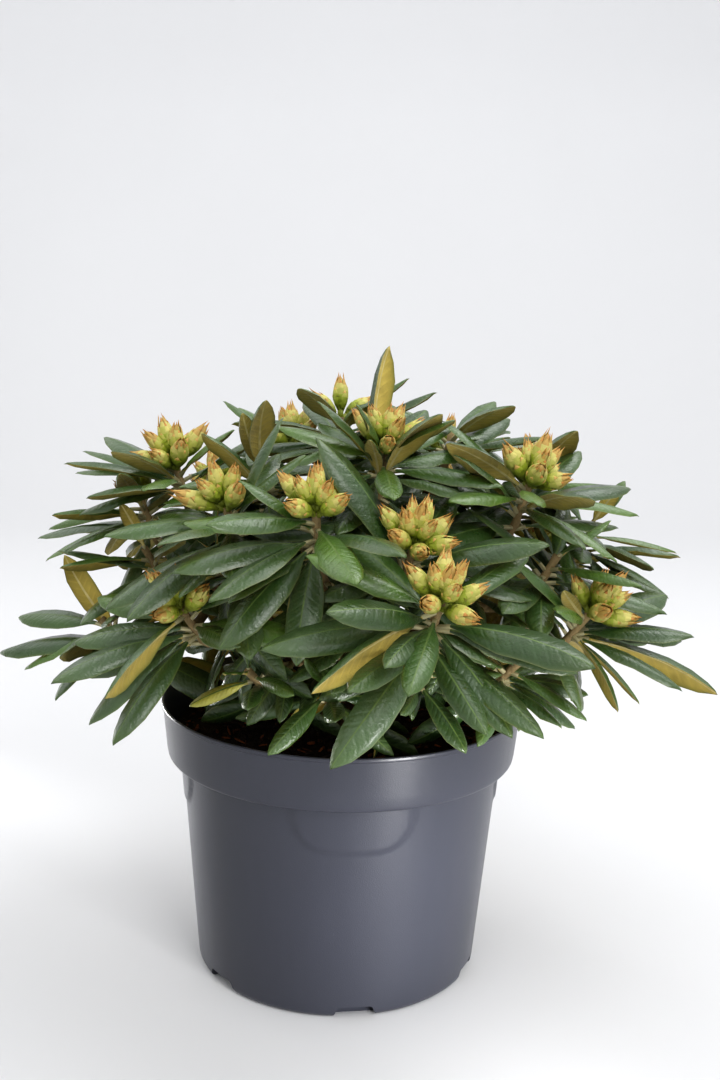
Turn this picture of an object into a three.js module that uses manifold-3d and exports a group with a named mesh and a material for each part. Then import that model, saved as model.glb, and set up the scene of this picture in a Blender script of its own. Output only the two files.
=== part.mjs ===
// A rhododendron in its nursery pot: a low, dense dome of leaf whorls on many short boughs, with a
// cluster of fat flower buds at most shoot tips. Millimetres, +Z up. The origin is the middle of the
// pot's flat underside and -Y is the front. Azimuths are degrees from the front towards +X.

import * as THREE from 'three';
import { mergeVertices } from 'three/addons/utils/BufferGeometryUtils.js';
import Module from 'manifold-3d';

const wasm = await Module();
wasm.setup();

// ---------------------------------------------------------------- driving dimensions

const GAP = 0.3; // between pieces that stand on, or grow out of, each other
const ROUND_SIDES = 32; // facets round the pot

const POT_HEIGHT = 215;
const RIM_RADIUS = 142.3;
const BAND_HEIGHT = 172.8; // lower edge of the stiff band under the rim
const BAND_RADIUS = 137.2; // outside of the band at that edge
const WALL_TOP_RADIUS = 126.2;
const BASE_RADIUS = 112.1;
const BASE_ROUND = 6; // radius of the corner between wall and underside
const POT_WALL = 2.6;
const POT_FLOOR = 5;
const LIP_DROP = 3; // depth of the thicker lip at the rim
const LIP_PROUD = 0.9;

const NOTCH_COUNT = 6; // drainage notches in the base corner
const NOTCH_FIRST_AZIMUTH = 8;
const NOTCH_HEIGHT = 9;
const NOTCH_TOP_WIDTH = 26;
const NOTCH_FOOT_WIDTH = 34;
const NOTCH_DEPTH = 9; // inwards from the wall

const LUG_COUNT = 4; // shallow raised panels that hang from the band
const LUG_FIRST_AZIMUTH = 5;
const LUG_HALF_SPAN = 23; // degrees
const LUG_LOW_HEIGHT = 134; // lowest point of the arched lower edge
const LUG_PROUD = 1.5;
const LUG_STEPS = 4;

const SOIL_HEIGHT = 192; // round the stem
const SOIL_EDGE_DROP = 5; // the soil is lower against the wall
const SOIL_FLAT_RADIUS = 34;

const TRUNK_TOP = 252;
const TRUNK_FLARE_RADIUS = 21;
const TRUNK_RADIUS = 14;
const TRUNK_TOP_RADIUS = 11.5;
const TRUNK_LEAN = 5; // sideways, at the top
const TRUNK_SIDES = 8;
const LIMB_SIDES = 6;

const BOUGH_ROOT_RADIUS = 6.5;
const BOUGH_TIP_RADIUS = 5.2;
const BOUGH_STEPS = 4;
const BOUGH_RISE = 0.62; // share of a bough's climb that is made in its outer half
const STEM_RADIUS = 4.6; // of a mass, where it takes over from its bough
const STEM_LENGTH = 26;
const TWIG_RADIUS = 4.2;
const TWIG_TIP_RADIUS = 3.8;
const TWIG_SIDES = 3;
const TWIG_STEPS = 2;
const TWIG_NECK = 30; // straight length below the tip that carries the leaves

const LEAF_LENGTH = 108;
const LEAF_WIDTH = 33;
const LEAF_THICKNESS = 2.2;
const PETIOLE_SHARE = 0.14; // of the leaf's length
const PETIOLE_WIDTH = 1.4;
const LEAF_WIDEST = 0.6; // place of the widest point along the leaf
const LEAF_STATIONS = [0, 0.34, 0.76, 1];
const UPTURN = 0.1; // how far the upper faces turn from the shoot's axis to the sky
const LEAF_LOWEST = 212; // no tip hangs lower, which is just below the pot's rim
const CLEARANCE = 0.6; // kept round a leaf that is being placed

const BUD_LENGTH = 36; // with its short stalk
const BUD_RADIUS = 6.4;
const BUD_SIDES = 3;
const BUD_PROFILE = [[0, 0.2], [0.6, 1], [1, 0]]; // shares of length and radius
const BUD_SPREAD = 46; // degrees between the middle bud and those round it
const BUD_STAGGER = 0.9; // each bud's foot lies this much below the one before

// A whorl is a tight spiral of leaves. From its oldest leaf to its youngest these change: the angle
// between the shoot's axis and the line from foot to tip, the height of the foot below the shoot's
// tip, the share of the full length, the recurve along the leaf and how far it sags.
const WHORL_STEP = 137.5; // degrees round the axis from one leaf to the next
const OLDEST = { open: 106, below: 28, size: 1.0, recurve: 38, sag: 0.15 };
const YOUNGEST = { open: 72, below: 10, size: 0.84, recurve: 26, sag: 0 };
const ERECT = { count: 2, open: 26, below: 3, size: 0.6, recurve: 12, sag: 0 }; // with no flower bud
const LEAF_SPACING = 24; // least angle between two leaves of one whorl, in degrees

// Each bough ends in one mass. A shoot is placed by the azimuth, reach from the pot's axis and height
// of its tip. Its set leaves come before those that the spiral grows: each is the azimuth and pitch of
// the line from foot to tip, the share of the full length, and, where it rolls over, the roll.
const MASSES = [
  {
    name: 'front',
    azimuth: 10,
    root: 216,
    tip: [74, 268],
    shoots: [
      {
        place: [21, 176, 333],
        leaves: 10,
        buds: 6,
        turn: 0,
        size: 1.0,
        set: [
          [-51, -43, 1.08], [46, -38, 0.86], [-71, -3, 1.12],
          [59, -4, 1.09], [-43, 14, 1.0], [50, 18, 1.0],
        ],
      },
      {
        place: [22, 124, 362],
        leaves: 9,
        buds: 7,
        turn: 20,
        size: 0.95,
        set: [[-83, 42, 1.1], [-62, -10, 0.68], [56, 20, 1.0], [-112, 48, 1.05]],
      },
      {
        place: [-10, 122, 384],
        leaves: 10,
        buds: 5,
        turn: 60,
        size: 0.95,
        set: [
          [-65, -6, 1.0], [-54, -27, 1.0], [-24, -48, 0.86],
          [4, -46, 0.74], [-69, 36, 0.66], [-60, 66, 0.78],
        ],
      },
      { place: [30, 122, 270], leaves: 6, buds: 0, turn: 10, size: 0.66 },
      { place: [-6, 112, 258], leaves: 6, buds: 0, turn: 50, size: 0.66 },
    ],
  },
  {
    name: 'front_left',
    azimuth: -48,
    root: 238,
    tip: [72, 284],
    shoots: [
      {
        place: [-51, 150, 307],
        leaves: 10,
        buds: 5,
        turn: 30,
        size: 0.95,
        set: [[-61, -11, 1.06], [-32, -46, 1.0], [-49, -32, 0.96], [-76, -40, 0.9], [29, 5, 0.75]],
      },
      {
        place: [-49, 115, 378],
        leaves: 9,
        buds: 4,
        turn: 0,
        size: 0.95,
        set: [[-62, -21, 1.0], [-56, -33, 1.05], [30, 68, 0.9], [-30, 62, 0.5]],
      },
      { place: [-72, 104, 338], leaves: 7, buds: 0, turn: 40, size: 0.85 },
      { place: [-36, 116, 262], leaves: 6, buds: 0, turn: 25, size: 0.62 },
    ],
  },
  {
    name: 'left',
    azimuth: -100,
    root: 214,
    tip: [84, 280],
    shoots: [
      {
        place: [-90, 191, 273],
        leaves: 9,
        buds: 0,
        turn: 10,
        size: 0.9,
        set: [[-109, -10, 1.12], [-117, -19, 0.9], [-94, 56, 0.72, 100]],
      },
      {
        place: [-102, 140, 394],
        leaves: 10,
        buds: 7,
        turn: 40,
        size: 0.9,
        set: [[-112, 14, 0.9], [-44, 4, 0.88], [-66, -10, 0.8]],
      },
      {
        place: [-108, 177, 360],
        leaves: 9,
        buds: 3,
        turn: 0,
        size: 0.95,
        set: [[-94, -6, 0.92], [-40, -4, 0.84], [-118, -20, 1.0]],
      },
      { place: [-100, 164, 325], leaves: 9, buds: 0, turn: 70, size: 0.9 },
    ],
  },
  {
    name: 'front_right',
    azimuth: 62,
    root: 238,
    tip: [78, 288],
    shoots: [
      {
        place: [66, 195, 308],
        leaves: 10,
        buds: 5,
        turn: 20,
        size: 0.95,
        set: [
          [60, 72, 0.92], [58, -15, 0.86], [76, -17, 1.1, 150],
          [36, -42, 0.78, 60], [110, -8, 0.9], [-83, 33, 0.76],
        ],
      },
      {
        place: [73, 141, 396],
        leaves: 10,
        buds: 6,
        turn: 50,
        size: 0.92,
        set: [[-80, 22, 0.74], [-52, 36, 0.8], [135, 29, 0.8], [24, -8, 0.84]],
      },
      { place: [69, 166, 345], leaves: 9, buds: 0, turn: 0, size: 0.9 },
      {
        place: [53, 158, 274],
        leaves: 9,
        buds: 0,
        turn: 40,
        size: 0.7,
        set: [[46, -24, 0.8], [22, -22, 0.74]],
      },
    ],
  },
  {
    name: 'right',
    azimuth: 105,
    root: 214,
    tip: [86, 276],
    shoots: [
      {
        place: [104, 205, 350],
        leaves: 9,
        buds: 0,
        turn: 15,
        size: 0.9,
        set: [[70, 4, 0.8], [52, -10, 0.8], [40, -28, 0.84]],
      },
      { place: [96, 196, 278], leaves: 9, buds: 0, turn: 45, size: 0.85 },
      { place: [110, 158, 388], leaves: 9, buds: 4, turn: 0, size: 0.88 },
      { place: [118, 190, 312], leaves: 9, buds: 3, turn: 70, size: 0.92 },
    ],
  },
  {
    name: 'crown',
    azimuth: 150,
    root: 254,
    tip: [16, 322],
    shoots: [
      {
        place: [31, 52, 418],
        leaves: 10,
        buds: 4,
        turn: 0,
        size: 0.9,
        set: [[172, 73, 1.0], [35, 40, 0.86], [-4, 46, 0.5], [-40, 48, 0.8]],
      },
      { place: [-173, 60, 430], leaves: 9, buds: 3, turn: 30, size: 0.88 },
      { place: [-90, 69, 398], leaves: 9, buds: 0, turn: 10, size: 0.88 },
      {
        place: [116, 91, 423],
        leaves: 9,
        buds: 0,
        turn: 50,
        size: 0.88,
        set: [[136, 22, 0.85], [60, 18, 0.85]],
      },
    ],
  },
  {
    name: 'back_left',
    azimuth: -145,
    root: 238,
    tip: [74, 282],
    shoots: [
      { place: [-136, 190, 298], leaves: 10, buds: 5, turn: 0, size: 0.98 },
      { place: [-134, 150, 362], leaves: 9, buds: 5, turn: 35, size: 0.95 },
      { place: [-158, 126, 400], leaves: 9, buds: 4, turn: 10, size: 0.92 },
      { place: [-160, 188, 330], leaves: 9, buds: 0, turn: 55, size: 0.92 },
    ],
  },
  {
    name: 'back',
    azimuth: 182,
    root: 214,
    tip: [82, 272],
    shoots: [
      { place: [184, 196, 282], leaves: 9, buds: 3, turn: 20, size: 0.95 },
      { place: [168, 182, 330], leaves: 10, buds: 5, turn: 0, size: 0.98 },
      { place: [176, 138, 376], leaves: 9, buds: 4, turn: 45, size: 0.94 },
      { place: [182, 118, 272], leaves: 6, buds: 0, turn: 15, size: 0.66 },
    ],
  },
  {
    name: 'back_right',
    azimuth: 143,
    root: 238,
    tip: [76, 284],
    shoots: [
      { place: [140, 194, 292], leaves: 10, buds: 4, turn: 10, size: 0.98 },
      { place: [146, 156, 352], leaves: 9, buds: 5, turn: 50, size: 0.95 },
      { place: [138, 120, 402], leaves: 9, buds: 3, turn: 30, size: 0.92 },
      { place: [124, 150, 346], leaves: 8, buds: 0, turn: 0, size: 0.88 },
    ],
  },
];

// Shoots climb more steeply the higher their tip is.
const AXIS_LOW = { height: 265, elevation: 45 };
const AXIS_HIGH = { height: 430, elevation: 80 };

// ---------------------------------------------------------------- materials

const finish = (color, roughness) => new THREE.MeshStandardMaterial({ color, roughness, metalness: 0 });
const POT_PLASTIC = finish(0x35383f, 0.42);
const PEAT = finish(0x2e2119, 0.95);
const BARK = finish(0x8a6a48, 0.85);
const FOLIAGE = finish(0x2f5233, 0.45);

// ---------------------------------------------------------------- solids from meshes

const UP = new THREE.Vector3(0, 0, 1);
const radians = THREE.MathUtils.degToRad;

function solidFrom(geometry) {
  geometry.deleteAttribute('normal');
  geometry.deleteAttribute('uv');
  const merged = mergeVertices(geometry, 1e-4);
  const corners = merged.index.array;
  const triangles = [];
  for (let i = 0; i < corners.length; i += 3) {
    const [a, b, c] = corners.slice(i, i + 3);
    if (a !== b && b !== c && c !== a) triangles.push(a, b, c);
  }
  const vertProperties = new Float32Array(merged.attributes.position.array);
  const triVerts = new Uint32Array(triangles);
  return new wasm.Manifold(new wasm.Mesh({ numProp: 3, vertProperties, triVerts }));
}

// The largest single body of a solid: loose scraps are dropped and sealed hollows are filled.
function mainBody(solid) {
  const bodies = solid.decompose();
  return bodies.reduce((best, body) => (body.volume() > best.volume() ? body : best));
}

function nodeFrom(name, solid, material) {
  const { vertProperties, triVerts } = mainBody(solid).getMesh();
  const geometry = new THREE.BufferGeometry();
  geometry.setAttribute('position', new THREE.BufferAttribute(new Float32Array(vertProperties), 3));
  geometry.setIndex(new THREE.BufferAttribute(new Uint32Array(triVerts), 1));
  geometry.computeVertexNormals();
  const mesh = new THREE.Mesh(geometry, material);
  mesh.name = name;
  return mesh;
}

// A closed skin through rings of points, all with the same count. A ring may shrink to one point.
function loft(rings) {
  const sides = rings[0].length;
  const last = (rings.length - 1) * sides;
  const triangles = [];
  for (let first = 0; first < last; first += sides) {
    for (let side = 0; side < sides; side += 1) {
      const a = first + side;
      const b = first + ((side + 1) % sides);
      triangles.push(a, b, b + sides, a, b + sides, a + sides);
    }
  }
  for (let side = 1; side + 1 < sides; side += 1) {
    triangles.push(0, side + 1, side, last, last + side, last + side + 1);
  }
  const geometry = new THREE.BufferGeometry().setFromPoints(rings.flat());
  geometry.setIndex(triangles);
  return solidFrom(geometry);
}

function revolve(profile) {
  const points = profile.map(([radius, height]) => new THREE.Vector2(radius, height));
  return solidFrom(new THREE.LatheGeometry(points, ROUND_SIDES).rotateX(Math.PI / 2));
}

const join = (solids) => solids.reduce((whole, solid) => whole.add(solid));

// ---------------------------------------------------------------- places and directions

function polar(azimuth, reach, height) {
  const turn = radians(azimuth);
  return new THREE.Vector3(reach * Math.sin(turn), -reach * Math.cos(turn), height);
}

function direction(azimuth, elevation) {
  const rise = radians(elevation);
  return polar(azimuth, Math.cos(rise), Math.sin(rise));
}

// Two unit vectors square to an axis, the first as level as it can be.
function crossAxes(axis) {
  const level = new THREE.Vector3().crossVectors(UP, axis).normalize();
  return [level, new THREE.Vector3().crossVectors(axis, level)];
}

// Repeatable draws between 0 and 1, by the minimal standard generator.
function draws(seed) {
  let state = seed * 7919 + 17;
  return () => {
    state = (state * 16807) % 2147483647;
    return state / 2147483647;
  };
}

// ---------------------------------------------------------------- pot and soil

const wallRadius = (height) =>
  THREE.MathUtils.mapLinear(height, BASE_ROUND, BAND_HEIGHT, BASE_RADIUS, WALL_TOP_RADIUS);
const bandRadius = (height) =>
  THREE.MathUtils.mapLinear(height, BAND_HEIGHT, POT_HEIGHT, BAND_RADIUS, RIM_RADIUS - LIP_PROUD);

function potShell() {
  const profile = [[0, 0]];
  const cornerSteps = 2;
  for (let step = 0; step <= cornerSteps; step += 1) {
    const turn = (step / cornerSteps) * (Math.PI / 2);
    profile.push([
      BASE_RADIUS - BASE_ROUND * (1 - Math.sin(turn)),
      BASE_ROUND * (1 - Math.cos(turn)),
    ]);
  }
  profile.push(
    [wallRadius(BAND_HEIGHT - 1), BAND_HEIGHT - 1],
    [BAND_RADIUS - 1, BAND_HEIGHT],
    [bandRadius(BAND_HEIGHT + 1), BAND_HEIGHT + 1],
    [bandRadius(POT_HEIGHT - LIP_DROP), POT_HEIGHT - LIP_DROP],
    [RIM_RADIUS, POT_HEIGHT - LIP_DROP + 1],
    [RIM_RADIUS, POT_HEIGHT],
    [RIM_RADIUS - POT_WALL, POT_HEIGHT],
    [bandRadius(BAND_HEIGHT + 4) - POT_WALL, BAND_HEIGHT + 4],
    [wallRadius(BAND_HEIGHT) - POT_WALL, BAND_HEIGHT],
    [wallRadius(POT_FLOOR) - POT_WALL, POT_FLOOR],
    [0, POT_FLOOR],
  );
  return revolve(profile);
}

// A wedge through the corner of the base, wider at its foot.
function notch(azimuth) {
  const outside = BASE_RADIUS + 20;
  const inside = BASE_RADIUS - NOTCH_DEPTH;
  const under = -1;
  const footHalf = NOTCH_FOOT_WIDTH / 2;
  const topHalf = NOTCH_TOP_WIDTH / 2;
  const ring = (radius) =>
    [[-footHalf, under], [footHalf, under], [topHalf, NOTCH_HEIGHT], [-topHalf, NOTCH_HEIGHT]].map(
      ([across, height]) => new THREE.Vector3(across, -radius, height),
    );
  const turn = radians(azimuth);
  return loft([ring(inside), ring(outside)].map((points) => points.map((p) => p.applyAxisAngle(UP, turn))));
}

// A raised panel with an arched lower edge, hanging from the band.
function lug(azimuth) {
  const rings = [];
  for (let step = 0; step <= LUG_STEPS; step += 1) {
    const across = (2 * step) / LUG_STEPS - 1;
    const turn = azimuth + across * LUG_HALF_SPAN;
    const foot = BAND_HEIGHT - (BAND_HEIGHT - LUG_LOW_HEIGHT) * (1 - across ** 4) - 1;
    const head = BAND_HEIGHT + 1;
    rings.push([
      polar(turn, wallRadius(foot) - 1, foot),
      polar(turn, wallRadius(foot) + LUG_PROUD, foot),
      polar(turn, wallRadius(head) + LUG_PROUD, head),
      polar(turn, wallRadius(head) - 1, head),
    ]);
  }
  return loft(rings.reverse());
}

function pot() {
  let shell = potShell();
  for (let i = 0; i < LUG_COUNT; i += 1) {
    shell = shell.add(lug(LUG_FIRST_AZIMUTH + (i * 360) / LUG_COUNT));
  }
  for (let i = 0; i < NOTCH_COUNT; i += 1) {
    shell = shell.subtract(notch(NOTCH_FIRST_AZIMUTH + (i * 360) / NOTCH_COUNT));
  }
  return shell;
}

function soil() {
  const inside = (height) => wallRadius(height) - POT_WALL - 2 * GAP;
  const edge = SOIL_HEIGHT - SOIL_EDGE_DROP;
  return revolve([
    [0, POT_FLOOR + GAP],
    [inside(POT_FLOOR + GAP), POT_FLOOR + GAP],
    [inside(BAND_HEIGHT), BAND_HEIGHT],
    [bandRadius(edge) - POT_WALL - 1.5, edge],
    [SOIL_FLAT_RADIUS + 50, edge + 3],
    [SOIL_FLAT_RADIUS, SOIL_HEIGHT],
    [0, SOIL_HEIGHT],
  ]);
}

// ---------------------------------------------------------------- wood

// A round limb through a row of points that tapers from one radius to the other. Its rings are
// carried along without twist.
function limb(points, radiusAt, sides) {
  const last = points.length - 1;
  const tangents = points.map((_, i) =>
    points[Math.min(i + 1, last)].clone().sub(points[Math.max(i - 1, 0)]).normalize(),
  );
  let [across] = crossAxes(tangents[0]);
  const rings = points.map((centre, i) => {
    across = across.clone().addScaledVector(tangents[i], -across.dot(tangents[i])).normalize();
    const along = new THREE.Vector3().crossVectors(tangents[i], across);
    return ringAround(centre, across, along, radiusAt(i / last), sides);
  });
  return loft(rings);
}

function ringAround(centre, across, along, radius, sides) {
  const ring = [];
  for (let side = 0; side < sides; side += 1) {
    const turn = (side / sides) * 2 * Math.PI;
    ring.push(
      centre
        .clone()
        .addScaledVector(across, radius * Math.cos(turn))
        .addScaledVector(along, radius * Math.sin(turn)),
    );
  }
  return ring;
}

const taper = (root, tip) => (along) => THREE.MathUtils.lerp(root, tip, along);

function trunkAxis(height) {
  return new THREE.Vector3(TRUNK_LEAN * ((height - SOIL_HEIGHT) / (TRUNK_TOP - SOIL_HEIGHT)), 0, height);
}

function trunk(extra = 0) {
  const rings = [
    [0, TRUNK_FLARE_RADIUS],
    [0.1, TRUNK_RADIUS + 3],
    [0.3, TRUNK_RADIUS],
    [1, TRUNK_TOP_RADIUS],
  ].map(([along, radius]) => {
    const foot = SOIL_HEIGHT + GAP - extra;
    const height = THREE.MathUtils.lerp(foot, TRUNK_TOP + extra, along);
    const ring = [];
    for (let side = 0; side < TRUNK_SIDES; side += 1) {
      ring.push(polar((side * 360) / TRUNK_SIDES, radius + extra, 0).add(trunkAxis(height)));
    }
    return ring;
  });
  return loft(rings);
}

// Where a bough ends, and the direction in which it is growing there.
function boughEnd(mass) {
  const [reach, height] = mass.tip;
  const point = polar(mass.azimuth, reach, height);
  const root = trunkAxis(mass.root);
  const heading = point.clone().sub(root);
  heading.z *= 2 * BOUGH_RISE;
  return { point, root, heading: heading.normalize() };
}

function bough(mass) {
  const { point, root, heading } = boughEnd(mass);
  const length = point.distanceTo(root);
  const elbow = point.clone().addScaledVector(heading, -0.45 * length);
  const curve = new THREE.QuadraticBezierCurve3(root, elbow, point);
  const wood = limb(curve.getPoints(BOUGH_STEPS), taper(BOUGH_ROOT_RADIUS, BOUGH_TIP_RADIUS), LIMB_SIDES);
  return mainBody(wood.subtract(trunk(GAP)));
}

// ---------------------------------------------------------------- shoots

function shootFrom(mass, row, index) {
  const [azimuth, , height] = row.place;
  const elevation = THREE.MathUtils.mapLinear(
    height, AXIS_LOW.height, AXIS_HIGH.height, AXIS_LOW.elevation, AXIS_HIGH.elevation,
  );
  return {
    set: [],
    ...row,
    mass,
    tip: polar(...row.place),
    axis: direction(azimuth, elevation),
    seed: 100 * (MASSES.indexOf(mass) + 1) + index,
    grown: [],
  };
}

function stemOf(mass) {
  const { point, heading } = boughEnd(mass);
  const foot = point.clone().addScaledVector(heading, GAP);
  return new THREE.LineCurve3(foot, foot.clone().addScaledVector(heading, STEM_LENGTH));
}

// A twig leaves the mass's stem part of the way up and bends into its shoot's axis.
function twig(shoot, stem) {
  const draw = draws(shoot.seed);
  const fork = stem.getPoint(0.45 + 0.5 * draw());
  const neck = shoot.tip.clone().addScaledVector(shoot.axis, -TWIG_NECK);
  const elbow = neck.clone().addScaledVector(shoot.axis, -0.4 * fork.distanceTo(neck));
  const points = new THREE.QuadraticBezierCurve3(fork, elbow, neck).getPoints(TWIG_STEPS);
  return limb([...points, shoot.tip], taper(TWIG_RADIUS, TWIG_TIP_RADIUS), TWIG_SIDES);
}

function bud(foot, axis, size) {
  const [across, along] = crossAxes(axis);
  const rings = BUD_PROFILE.map(([rise, girth]) => {
    const centre = foot.clone().addScaledVector(axis, rise * size * BUD_LENGTH);
    return ringAround(centre, across, along, girth * size * BUD_RADIUS, BUD_SIDES);
  });
  return loft(rings);
}

// One bud in the middle and the rest leaning out round it.
function budCluster(shoot) {
  const draw = draws(shoot.seed + 50);
  const [across, along] = crossAxes(shoot.axis);
  const buds = [];
  for (let i = 0; i < shoot.buds; i += 1) {
    const lean = i === 0 ? 0 : radians(BUD_SPREAD + 14 * draw());
    const turn = radians(shoot.turn + (i * 360) / Math.max(shoot.buds - 1, 1));
    const axis = shoot.axis
      .clone()
      .multiplyScalar(Math.cos(lean))
      .addScaledVector(across, Math.sin(lean) * Math.cos(turn))
      .addScaledVector(along, Math.sin(lean) * Math.sin(turn));
    const foot = shoot.tip.clone().addScaledVector(shoot.axis, -1 - i * BUD_STAGGER);
    buds.push(bud(foot, axis, 0.85 + 0.25 * draw()));
  }
  return buds;
}

// ---------------------------------------------------------------- leaves

// Half the width of a leaf at a share of its length, as a share of half its full width.
function leafOutline(along) {
  if (along <= PETIOLE_SHARE) return 0;
  if (along < LEAF_WIDEST) {
    return 1 - ((LEAF_WIDEST - along) / (LEAF_WIDEST - PETIOLE_SHARE)) ** 1.9;
  }
  return 1 - ((along - LEAF_WIDEST) / (1 - LEAF_WIDEST)) ** 2.5;
}

// A leaf is an arc that curls back from its upper face, three points round: two margins and a ridge.
function leafSolid(leaf, extra = 0) {
  const side = new THREE.Vector3().crossVectors(leaf.upper, leaf.heading);
  const bend = radians(leaf.recurve);
  const rings = LEAF_STATIONS.map((along) => {
    const turn = bend * along;
    const centre = leaf.foot
      .clone()
      .addScaledVector(leaf.heading, (leaf.length * Math.sin(turn)) / bend)
      .addScaledVector(leaf.upper, (-leaf.length * (1 - Math.cos(turn))) / bend);
    const upper = leaf.upper
      .clone()
      .multiplyScalar(Math.cos(turn))
      .addScaledVector(leaf.heading, Math.sin(turn));
    const atTip = along === 1;
    const half = atTip ? extra : Math.max(leafOutline(along) * leaf.width, PETIOLE_WIDTH) / 2 + extra;
    const ridge = atTip ? extra : LEAF_THICKNESS * Math.min(1, 0.6 + leafOutline(along)) + extra;
    return [
      centre.clone().addScaledVector(side, half).addScaledVector(upper, -extra),
      centre.clone().addScaledVector(upper, ridge),
      centre.clone().addScaledVector(side, -half).addScaledVector(upper, -extra),
    ];
  });
  return loft(rings);
}

// The leaf at a turn round the shoot's axis, whose line from foot to tip opens away from that axis.
function leafAt(shoot, form, turn, open) {
  const [across, along] = crossAxes(shoot.axis);
  const around = radians(turn);
  const away = radians(open);
  const line = shoot.axis
    .clone()
    .multiplyScalar(Math.cos(away))
    .addScaledVector(across, Math.sin(away) * Math.cos(around))
    .addScaledVector(along, Math.sin(away) * Math.sin(around))
    .addScaledVector(UP, -form.sag)
    .normalize();
  const face = shoot.axis.clone().addScaledVector(UP, UPTURN);
  face.addScaledVector(line, -face.dot(line)).normalize();
  face.applyAxisAngle(line, radians(form.roll));
  const half = radians(form.recurve) / 2;
  return {
    foot: shoot.tip.clone().addScaledVector(shoot.axis, -form.below),
    line,
    heading: line.clone().multiplyScalar(Math.cos(half)).addScaledVector(face, Math.sin(half)),
    upper: face.clone().multiplyScalar(Math.cos(half)).addScaledVector(line, -Math.sin(half)),
    length: LEAF_LENGTH * form.size,
    width: LEAF_WIDTH * form.size,
    recurve: form.recurve,
  };
}

// Changes of turn and opening, in degrees, that are tried until a leaf is clear of the rest.
const TRIES = [[0, 0], [9, 6], [-9, 6], [0, -12], [14, -10], [-14, -10], [20, 10], [-20, 10], [0, 20]];

const placed = []; // what later leaves keep clear of

function keep(solid, owner) {
  const { min, max } = solid.boundingBox();
  const box = new THREE.Box3(new THREE.Vector3(...min), new THREE.Vector3(...max));
  placed.push({ solid, owner, box });
}

function isClear(solid, owner) {
  const { min, max } = solid.boundingBox();
  const box = new THREE.Box3(new THREE.Vector3(...min), new THREE.Vector3(...max));
  return placed.every(
    (other) =>
      other.owner === owner || !other.box.intersectsBox(box) || other.solid.intersect(solid).isEmpty(),
  );
}

// The form of a shoot's nth leaf, from the oldest, before chance changes it.
function spiralForm(shoot, n) {
  if (n >= shoot.leaves) return { ...ERECT, roll: 0 };
  const age = n / (shoot.leaves - 1);
  const between = (key) => [key, THREE.MathUtils.lerp(OLDEST[key], YOUNGEST[key], age)];
  return { ...Object.fromEntries(Object.keys(OLDEST).map(between)), roll: 0 };
}

function growLeaf(shoot, form, turn, open) {
  for (const [turnBy, openBy] of TRIES) {
    const leaf = leafAt(shoot, form, turn + turnBy, open + openBy);
    const high = leaf.foot.z + leaf.line.z * leaf.length > LEAF_LOWEST;
    const apart = shoot.grown.every((other) => other.line.angleTo(leaf.line) > radians(LEAF_SPACING));
    if (high && apart && isClear(leafSolid(leaf, CLEARANCE), shoot)) {
      leaf.solid = leafSolid(leaf);
      keep(leaf.solid, shoot);
      shoot.grown.push(leaf);
      return;
    }
  }
}

function growSetLeaves(shoot) {
  const [across, along] = crossAxes(shoot.axis);
  shoot.set.forEach(([azimuth, pitch, size, roll = 0], n) => {
    const line = direction(azimuth, pitch);
    const turn = THREE.MathUtils.radToDeg(Math.atan2(line.dot(along), line.dot(across)));
    const open = THREE.MathUtils.radToDeg(line.angleTo(shoot.axis));
    growLeaf(shoot, { ...spiralForm(shoot, n), size, roll, sag: 0 }, turn, open);
  });
}

function growSpiral(shoot) {
  const draw = draws(shoot.seed + 25);
  const count = shoot.leaves + (shoot.buds === 0 ? ERECT.count : 0);
  for (let n = shoot.set.length; n < count; n += 1) {
    const form = spiralForm(shoot, n);
    form.size *= shoot.size * (0.92 + 0.16 * draw());
    form.roll = 24 * (draw() - 0.5);
    const turn = shoot.turn + n * WHORL_STEP + 16 * (draw() - 0.5);
    growLeaf(shoot, form, turn, form.open + 12 * (draw() - 0.5));
  }
}

// ---------------------------------------------------------------- the whole plant

function plant() {
  const group = new THREE.Group();
  const potSolid = pot();
  const soilSolid = soil();
  const trunkSolid = trunk();
  group.add(nodeFrom('pot', potSolid, POT_PLASTIC));
  group.add(nodeFrom('soil', soilSolid, PEAT));
  group.add(nodeFrom('trunk', trunkSolid, BARK));
  [potSolid, soilSolid, trunkSolid].forEach((solid) => keep(solid, null));

  const shoots = [];
  const parts = new Map();
  for (const mass of MASSES) {
    const boughSolid = bough(mass);
    keep(boughSolid, null);
    group.add(nodeFrom(`bough_${mass.name}`, boughSolid, BARK));
    const stem = stemOf(mass);
    const stemSolid = limb([stem.v1, stem.v2], taper(STEM_RADIUS, TWIG_RADIUS), LIMB_SIDES);
    keep(stemSolid, null);
    parts.set(mass, [stemSolid]);
    mass.shoots.forEach((row, index) => {
      const shoot = shootFrom(mass, row, index);
      const wood = twig(shoot, stem);
      const buds = budCluster(shoot);
      keep(wood, shoot);
      buds.forEach((solid) => keep(solid, null));
      parts.get(mass).push(wood, ...buds);
      shoots.push(shoot);
    });
  }
  shoots.forEach(growSetLeaves);
  shoots.forEach(growSpiral);
  for (const shoot of shoots) parts.get(shoot.mass).push(...shoot.grown.map((leaf) => leaf.solid));
  for (const mass of MASSES) {
    group.add(nodeFrom(`leaves_${mass.name}`, join(parts.get(mass)), FOLIAGE));
  }
  return group;
}

export default plant();
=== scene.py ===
# A rhododendron in its nursery pot: a low dome of leathery leaf whorls on many short boughs, with
# clusters of fat flower buds at the shoot tips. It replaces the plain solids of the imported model
# with finished pieces in the same place. Metres, +Z up, the front towards -Y; azimuths are degrees
# from the front towards +X.

import math

import bpy
import numpy as np
from bpy.props import FloatProperty, FloatVectorProperty, IntProperty, PointerProperty
from mathutils import Matrix, Vector, noise
from mathutils.bvhtree import BVHTree


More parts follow.
